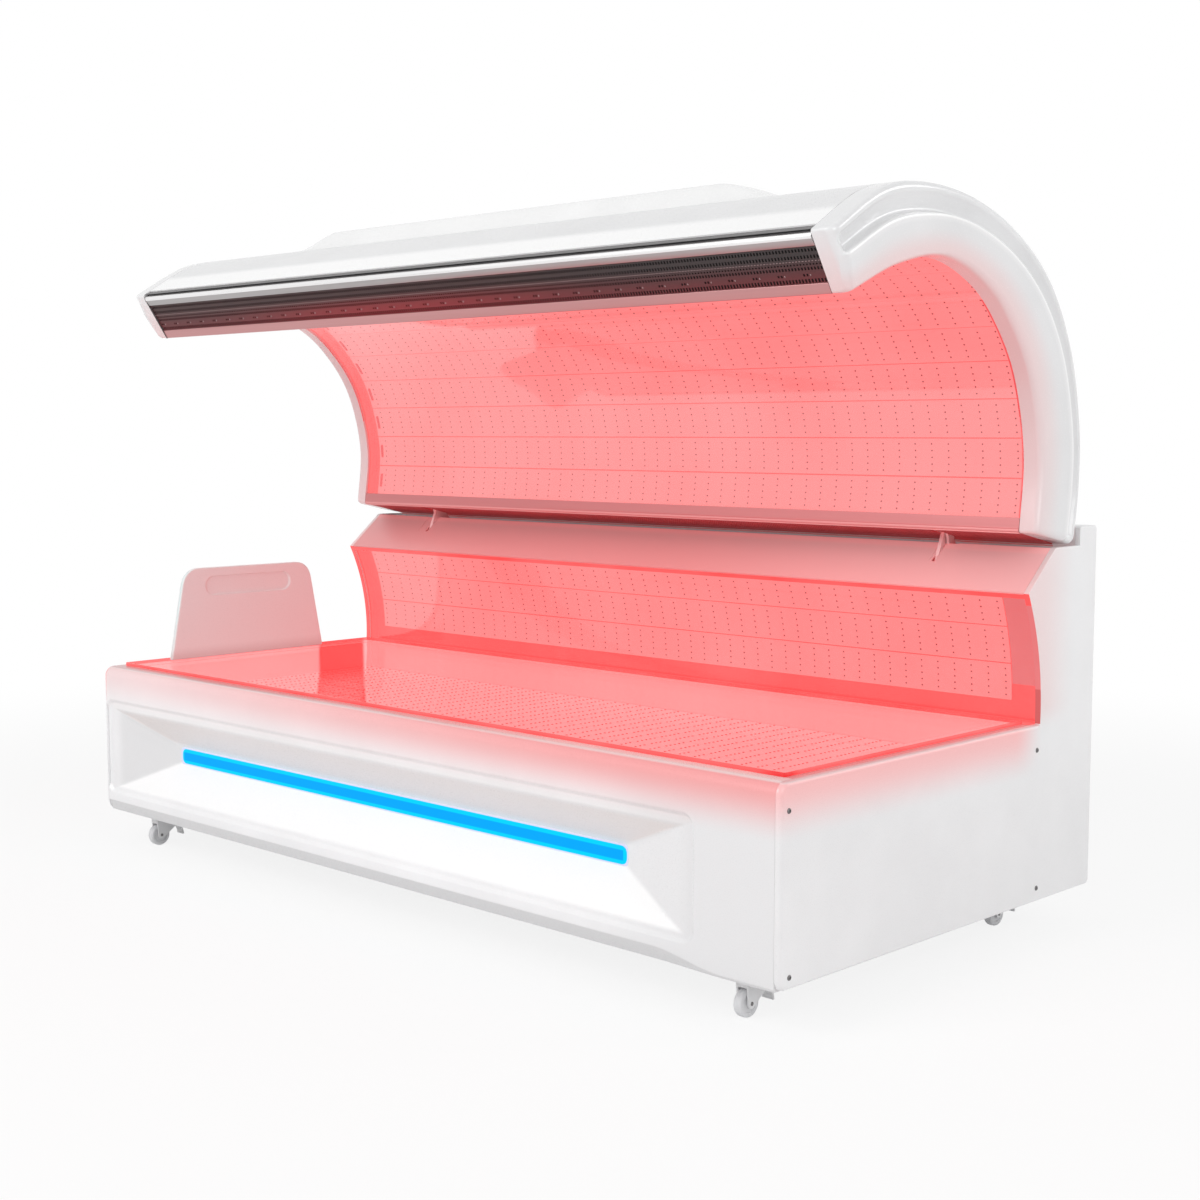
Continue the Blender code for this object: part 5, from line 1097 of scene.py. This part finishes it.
top = s["board"]
stripFoot = top - s["stripThick"]
plate = softened(inset(rim, s["boardGap"]), s["boardCorner"], 4)
bedBoard = slab(Surface(), plate, s["boardLow"], stripFoot, s["boardEdge"], "z", 3, 1)
columns, rows = ledLines(s["columns"], stripSet["rows"], stripSet["rowPitch"])
wide = s["pitch"] / 2 - s["stripGap"]
dots = Surface()
for index in range(s["strips"]):
    mid = s["middle"] + (index - (s["strips"] - 1) / 2) * s["pitch"]
    strip = corners(l + s["stripEnd"], r - s["stripEnd"], mid - wide, mid + wide)
    slab(bedBoard, strip, stripFoot, top, s["stripEdge"], "z", 2)
    x, y = (m.ravel() for m in np.meshgrid(columns, mid + rows, indexing="ij"))
    spots = np.column_stack([x, y, np.full(len(x), top)])
    blocks(dots, spots, (1, 0, 0), (0, 1, 0), (0, 0, 1), s["dot"], 0.7)
putPiece("bedLightBoard", bedBoard, [bedRed, backingRed], "base", ["bed_led_board"])
putPiece("bedLedBeads", dots, [bedBead], "base")
print("bed made")


# Back light panel

backSet = {
    "low": 0.4563, "high": 0.724, "strips": 3, "space": 0.003, "depth": 0.025, "thick": 0.003,
    "left": -1.047, "right": 1.0155, "foot": 0.4935, "head": 0.7195,
    "columns": (-1.0345, 1.0035, 50), "rows": 5,
    "rowShare": 0.965,  # height of a row's step along the arc
    "sheet": 0.005, "edge": 0.0065, "dull": (0.528, 0.704),
    "lip": (0.0016, -0.0005, 0.0048),  # glowing upper edge: above the sheet, near, far
    "backing": (0.002, 0.005, 0.007),  # reflector: lift, near and far behind the strips
    "band": (-0.0007, 0.0006), "bandShort": (0.001, 0.0002),  # depths; short of the ends, of the panel's face
    "plate": (0.001, 0.003, 0.003, 0.0013),  # end plate: near and far, gaps to its left and right
    "footStrip": (0.2990, 0.3515, 0.4557, 0.4566),
}
s = backSet
depth = s["depth"]


def arcPiece(name, heights, near, far, finish, stands=(), x=(-inside, inside)):  # sheet along the arc
    putPiece(name, layer(Surface(), heights, near, far, *x, arcBehind), [finish], "base", stands)


arcPiece("backClearSheet", np.linspace(s["low"], s["high"], 40), 0.0, s["sheet"], backClear,
         ["back_acrylic"])
above, near, far = s["lip"]
arcPiece("backSheetEdge", np.array([s["high"] - s["edge"], s["high"] + above]), near, far, edgeRed)
columns, rows = ledLines(s["columns"], s["rows"], stripSet["rowPitch"])
pitch = (s["head"] - s["foot"]) / s["strips"]
beads = Surface()
for index in range(s["strips"]):
    start = s["foot"] + index * pitch + s["space"] / 2
    stop = start + pitch - s["space"]
    arcPiece(f"backStrip{index + 1}", np.linspace(start, stop, 10), depth, depth + s["thick"], stripRed,
             [f"back_led_strip_{index + 1}"], (s["left"], s["right"]))
    at = (start + stop) / 2 + rows * s["rowShare"]
    spots = arcBehind(at, depth)
    radial = unit(np.array([arcSet["centreY"], arcSet["centreZ"]]) - spots)
    x, k = (m.ravel() for m in np.meshgrid(columns, np.arange(len(at)), indexing="ij"))
    lift = np.column_stack([0 * x, radial[k]])
    places = np.column_stack([x, spots[k]])
    blocks(beads, places, (1, 0, 0), np.cross(lift, (1.0, 0, 0)), lift, stripSet["bead"], 0.7)
putPiece("backLedBeads", beads, [beadRed], "base")
rise, near, far = s["backing"]
z = np.linspace(s["low"] + rise, s["high"] + rise, 40)
arcPiece("backReflector", z, depth + near, depth + far, backingRed)
ends, bands = Surface(), Surface()
short, bandIn = s["bandShort"]
near, far, gap, past = stripSet["endSheet"]
marks = (s["low"] + short, *s["dull"], arcSet["tip"] - short)
# the right bands glow bright red at the top, dimmer in the middle and dimmest at the foot: painted shade
for side, looks in ((-1, (0, 0, 0)), (1, (2, 1, 0))):
    x = onSide(side, inside - near, inside - far)
    layer(ends, z, s["sheet"] + gap, depth + past, *x, arcBehind)
    x = onSide(side, inside, b["half"] - bandIn)
    for z0, z1, look in zip(marks[:-1], marks[1:], looks):
        layer(bands, np.linspace(z0, z1, 14), *s["band"], *x, arcBehind, look)
putPiece("backLightEnds", ends, [backingRed], "base")
putPiece("backSheetBands", bands, [edgeRed, endPaintedDim, endShade], "base")
# end plate behind the back sheet's right end, in the dimmer glow of painted shade
near, far, left, right = s["plate"]
arcPiece("backEndPlate", np.linspace(*s["dull"], 12), depth + near, depth + far, endPaintedDim,
         x=(s["right"] + left, inside - right))
# red glowing strip over the gap under the back sheet's foot: painted light
footStrip = corners(*s["footStrip"])[[0, 3, 2, 1]]
putPiece("backFootStrip", alongX(Surface(), footStrip, -inside, inside), [backingRed], "base")
print("back light made:", s["strips"], "strips")


# Headboard

boardSet = {
    "x": (-1.026, -1.014), "foot": (-0.3865, 0.0965), "topHalf": 0.1975, "middle": -0.145,
    "low": 0.4646, "high": 0.6996, "corners": (0.003, 0.003, 0.046, 0.046), "round": 0.0028,
    "grip": (0.270, 0.050), "gripDrop": 0.048, "press": 0.0036,
    "face": (0.03, 0.25, 0.5, 0.75, 0.93),  # rings between rim and grip
    "well": ((1.012, 0.0), (1.0, 0.09), (0.992, 0.36), (0.982, 0.77), (0.97, 0.95), (0.95, 1.0), (0.5, 1.0)),
}


def outlineByAngle(outline, centre, angles):  # where rays from the centre leave a closed outline
    p = outline - centre
    a, r = np.arctan2(p[:, 1], p[:, 0]), np.hypot(p[:, 0], p[:, 1])
    order = np.argsort(a)
    a, r = a[order], r[order]
    onward = np.concatenate([a[-3:] - 2 * math.pi, a, a[:3] + 2 * math.pi])
    reach = np.interp(angles, onward, np.concatenate([r[-3:], r, r[:3]]))
    return centre + reach[:, None] * np.stack([np.cos(angles), np.sin(angles)], -1)


def densified(outline, per):  # extra points on each side of a closed outline
    p = np.asarray(outline, float)
    t = np.linspace(0, 1, per, endpoint=False)[None, :, None]
    return (p[:, None] * (1 - t) + np.roll(p, -1, 0)[:, None] * t).reshape(-1, 2)


h = boardSet
mid, high = h["middle"], h["high"]
plate = softened([(h["foot"][0], h["low"]), (h["foot"][1], h["low"]), (mid + h["topHalf"], high),
                  (mid - h["topHalf"], high)], h["corners"], 14)
gripZ = high - h["gripDrop"]
reach, tall = h["grip"][0] / 2, h["grip"][1] / 2
bend = np.linspace(-math.pi / 2, math.pi / 2, 15)
pill = np.concatenate([
    np.column_stack([mid + reach - tall + tall * np.cos(bend), gripZ + tall * np.sin(bend)]),
    np.column_stack([mid - reach + tall - tall * np.cos(bend), gripZ - tall * np.sin(bend)])])
centre = np.array([mid, gripZ])
turns = [np.arctan2(*(line - centre).T[::-1]) for line in (plate, pill)]
angles = np.unique(np.concatenate([np.linspace(-math.pi, math.pi, 220, endpoint=False), *turns]))
well = outlineByAngle(densified(pill, 30), centre, angles)


def rimAt(cut):  # the plate's outline this far in, met by rays from the grip
    return outlineByAngle(densified(inset(plate, cut), 60), centre, angles)


(x0, x1), soft = h["x"], h["round"]
steps = np.linspace(0, math.pi / 2, 5)
rings = [placed("x", rimAt(soft * (1 - math.sin(t))), x0 + soft * (1 - math.cos(t))) for t in steps]
rings += [placed("x", rimAt(soft * (1 - math.cos(t))), x1 - soft * (1 - math.sin(t))) for t in steps]
edgeIn = rimAt(soft)
rings += [placed("x", edgeIn + (well - edgeIn) * t, x1) for t in h["face"]]
rings += [placed("x", centre + (well - centre) * k, x1 - press * h["press"]) for k, press in h["well"]]
putPiece("headboard", Surface().tube(np.stack(rings)), [boardWhite],
         "base", ["headboard"], 40.0)
print("headboard made")


# Screws, casters and the rest

screwSet = {
    "radius": 0.0052, "height": 0.0022, "dimple": 0.0024,
    "ends": ((-0.512, 0.405), (0.310, 0.404), (0.319, 0.114), (-0.507, 0.110)),
    "rearX": (-1.06, 1.06, 7), "rearZ": (0.112, 0.830),
}
s = screwSet
wide, tall, dimple = s["radius"], s["height"], s["dimple"]
domed = np.array([(0.0, tall * 0.35), (dimple * 0.8, tall * 0.35), (dimple, tall * 0.95), (wide * 0.62, tall),
                  (wide * 0.9, tall * 0.6), (wide, 0.0002), (wide, -0.001), (0.0, -0.001)])
for name, side in sides:
    screws = Surface()
    for y, z in s["ends"]:
        lathe(screws, domed * (1, side), (side * b["half"], y, z), "x", 20)
    putPiece(f"{name}PanelScrews", screws, [screwSteel], "base")
screws = Surface()
for x in np.linspace(*s["rearX"]):
    for z in s["rearZ"]:
        lathe(screws, domed, (x, rear, z), "y", 20)
putPiece("rearPanelScrews", screws, [screwSteel], "base")

slotSet = {  # liners that close the ledge's slots beside the hinge plates
    "foot": 0.3222, "head": 0.3652, "drop": 0.0005, "thick": 0.002, "slope": ((0.264, 0.729), (0.366, 0.816)),
    "sides": ((0.8223, 0.8277), (0.8363, 0.8677)),
}
s = slotSet
start, stop = (np.array(p) for p in s["slope"])
lean = unit(stop - start)
down = np.array([lean[1], -lean[0]])
liner = [start + lean * (y - start[0]) / lean[0] + down * (s["drop"] + deep) for y, deep in
         ((s["foot"], 0), (s["head"], 0), (s["head"], s["thick"]), (s["foot"], s["thick"]))]
liners = Surface()
for near, far in s["sides"]:
    alongX(liners, liner, near, far)
    alongX(liners, liner, -far, -near)
putPiece("ledgeSlotLiners", liners, [ledgeWhite], "base")

wheelSet = {
    "rise": 0.0270, "trail": 0.020, "x": 0.97, "ends": (("front", -0.445), ("rear", 0.390)), "capAt": 0.0140,
    "tread": ((0.0, 0.0093), (0.0030, 0.0093), (0.0034, 0.0088), (0.0070, 0.0088), (0.0076, 0.0078),
              (0.0150, 0.0072), (0.0170, 0.0076), (0.0178, 0.0092), (0.0185, 0.0096), (0.0232, 0.0096),
              (0.0252, 0.0086), (0.0264, 0.0064), (0.0268, 0.0040), (0.0268, 0.0012), (0.0264, 0.0006)),
    "cap": ((0.0, 0.0016), (0.0022, 0.0015), (0.0034, 0.0009), (0.0038, 0.0), (0.0038, -0.0004),
            (0.0, -0.0004)),
}
w = wheelSet
tread, cap = np.array(w["tread"]), np.array(w["cap"])
tread = np.concatenate([tread, tread[::-1] * (1, -1)])
for end, y in w["ends"]:
    for name, side in sides:
        hub = np.array([side * w["x"], y - w["trail"], w["rise"]])
        caster, piece = f"{end}_{name}_caster", f"{end}{name.title()}"
        putPiece(f"{piece}Wheel", lathe(Surface(), tread, hub, "x", 48), [treadGrey],
                 f"{caster}_wheel", [f"{caster}_wheel"], 40.0)
        caps = Surface()
        for out in (-1, 1):
            lathe(caps, cap * (1, out), hub + (out * w["capAt"], 0, 0), "x", 20)
        putPiece(f"{piece}AxleCaps", caps, [screwSteel], f"{caster}_fork")

keptLooks = {  # finishes of the solids that show as they are, by a part of their names
    "ledge_cover": ledgeWhite, "deck_rim": deckWhite, "rear_panel": shellWhite, "base_pan": steelPaint,
    "base_frame": steelPaint, "power_inlet": blackPlastic, "power_switch_rocker": blackPlastic,
    "power_supply": caseMetal, "control_box": caseMetal, "front_light_board": caseMetal,
    "fan_frame": blackPlastic, "fan_rotor": blackPlastic, "hinge_bracket": hingeWhite,
    "hinge_arm": hingeWhite, "strut_cylinder": steelPaint, "strut_rod": strutSteel, "caster": casterGrey,
}
bare = []
for name, solid in cadNodes.items():
    if solid.hide_render:
        continue
    look = next((finish for part, finish in keptLooks.items() if part in name), None)
    if look:
        solid.data.materials.clear()
        solid.data.materials.append(look.made)
    else:
        bare.append(name)
print("solids still in their first finish:", bare)


# Stage, light and camera

stageSet = {"size": 60.0, "ambient": 0.54, "shadow": 0.16, "near": 1.7, "far": 4.0}
plainWhite = (1.0, 1.0, 1.0, 1.0)
paleFloor = Finish("paleFloor")
paleFloor.wire(paleFloor.shader, {
    "Base Color": (0.9, 0.9, 0.9, 1.0), "Roughness": 0.9, "Specular IOR Level": 0.0})
away = paleFloor.add("VectorMath", {0: paleFloor.place()}, operation="LENGTH").outputs["Value"]
keep = paleFloor.ranged(away, stageSet["near"], stageSet["far"], 1 - stageSet["shadow"], 1.0, "SMOOTHSTEP")
paleFloor.show(paleFloor.maths("MULTIPLY", paleFloor.seen(), keep), paleFloor.shader,
               paleFloor.add("Emission", {"Color": plainWhite}))
e = stageSet["size"]
floorMesh = bpy.data.meshes.new("floor")
floorMesh.from_pydata(placed("z", corners(-e, e, -e, e), 0.0), [], [(0, 1, 2, 3)])
floorMesh.materials.append(paleFloor.made)
floorPiece = bpy.data.objects.new("floor", floorMesh)
bpy.context.scene.collection.objects.link(floorPiece)

world = bpy.data.worlds.new("studio")
bpy.context.scene.world = world
world.use_nodes = True
studio = Finish("studio", world.node_tree)
ambient = studio.wire(studio.nodes["Background"], {"Color": plainWhite, "Strength": stageSet["ambient"]})
backdrop = studio.add("Background", {"Color": plainWhite, "Strength": 1.0})
studio.show(studio.seen(), ambient, backdrop, "World Output")

lampSet = {
    "keyFront": {"place": (-0.6, -4.5, 3.3), "aim": (0.0, -0.3, 0.6), "size": 2.6, "power": 100.0},
    "topSoft": {"place": (0.2, 1.2, 4.6), "aim": (0.0, 0.1, 1.0), "size": 3.0, "power": 4.0},
    "rightFill": {"place": (4.8, -1.2, 2.2), "aim": (1.0, 0.0, 0.7), "size": 1.8, "power": 44.0},
    "rimRight": {"place": (3.4, 2.6, 2.4), "aim": (1.0, 0.2, 1.1), "size": 1.0, "power": 14.0},
}
for name, lamp in lampSet.items():
    light = bpy.data.lights.new(name, "AREA")
    light.shape = "SQUARE"
    light.size = lamp["size"]
    light.energy = lamp["power"]
    holder = bpy.data.objects.new(name, light)
    holder.location = lamp["place"]
    holder.rotation_euler = (Vector(lamp["aim"]) - Vector(lamp["place"])).to_track_quat("-Z", "Y").to_euler()
    bpy.context.scene.collection.objects.link(holder)

cameraSet = {"place": (2.952, -2.896, 1.053), "tilt": 84.60, "turn": 44.02, "lens": 53.22, "sensor": 36.0}
eye = bpy.data.cameras.new("photoView")
eye.sensor_width = cameraSet["sensor"]
eye.lens = cameraSet["lens"]
view = bpy.data.objects.new("photoView", eye)
view.location = cameraSet["place"]
view.rotation_euler = (math.radians(cameraSet["tilt"]), 0.0, math.radians(cameraSet["turn"]))
bpy.context.scene.collection.objects.link(view)
bpy.context.scene.camera = view
bpy.context.scene.view_settings.view_transform = "Standard"
print("stage, lamps and camera placed")
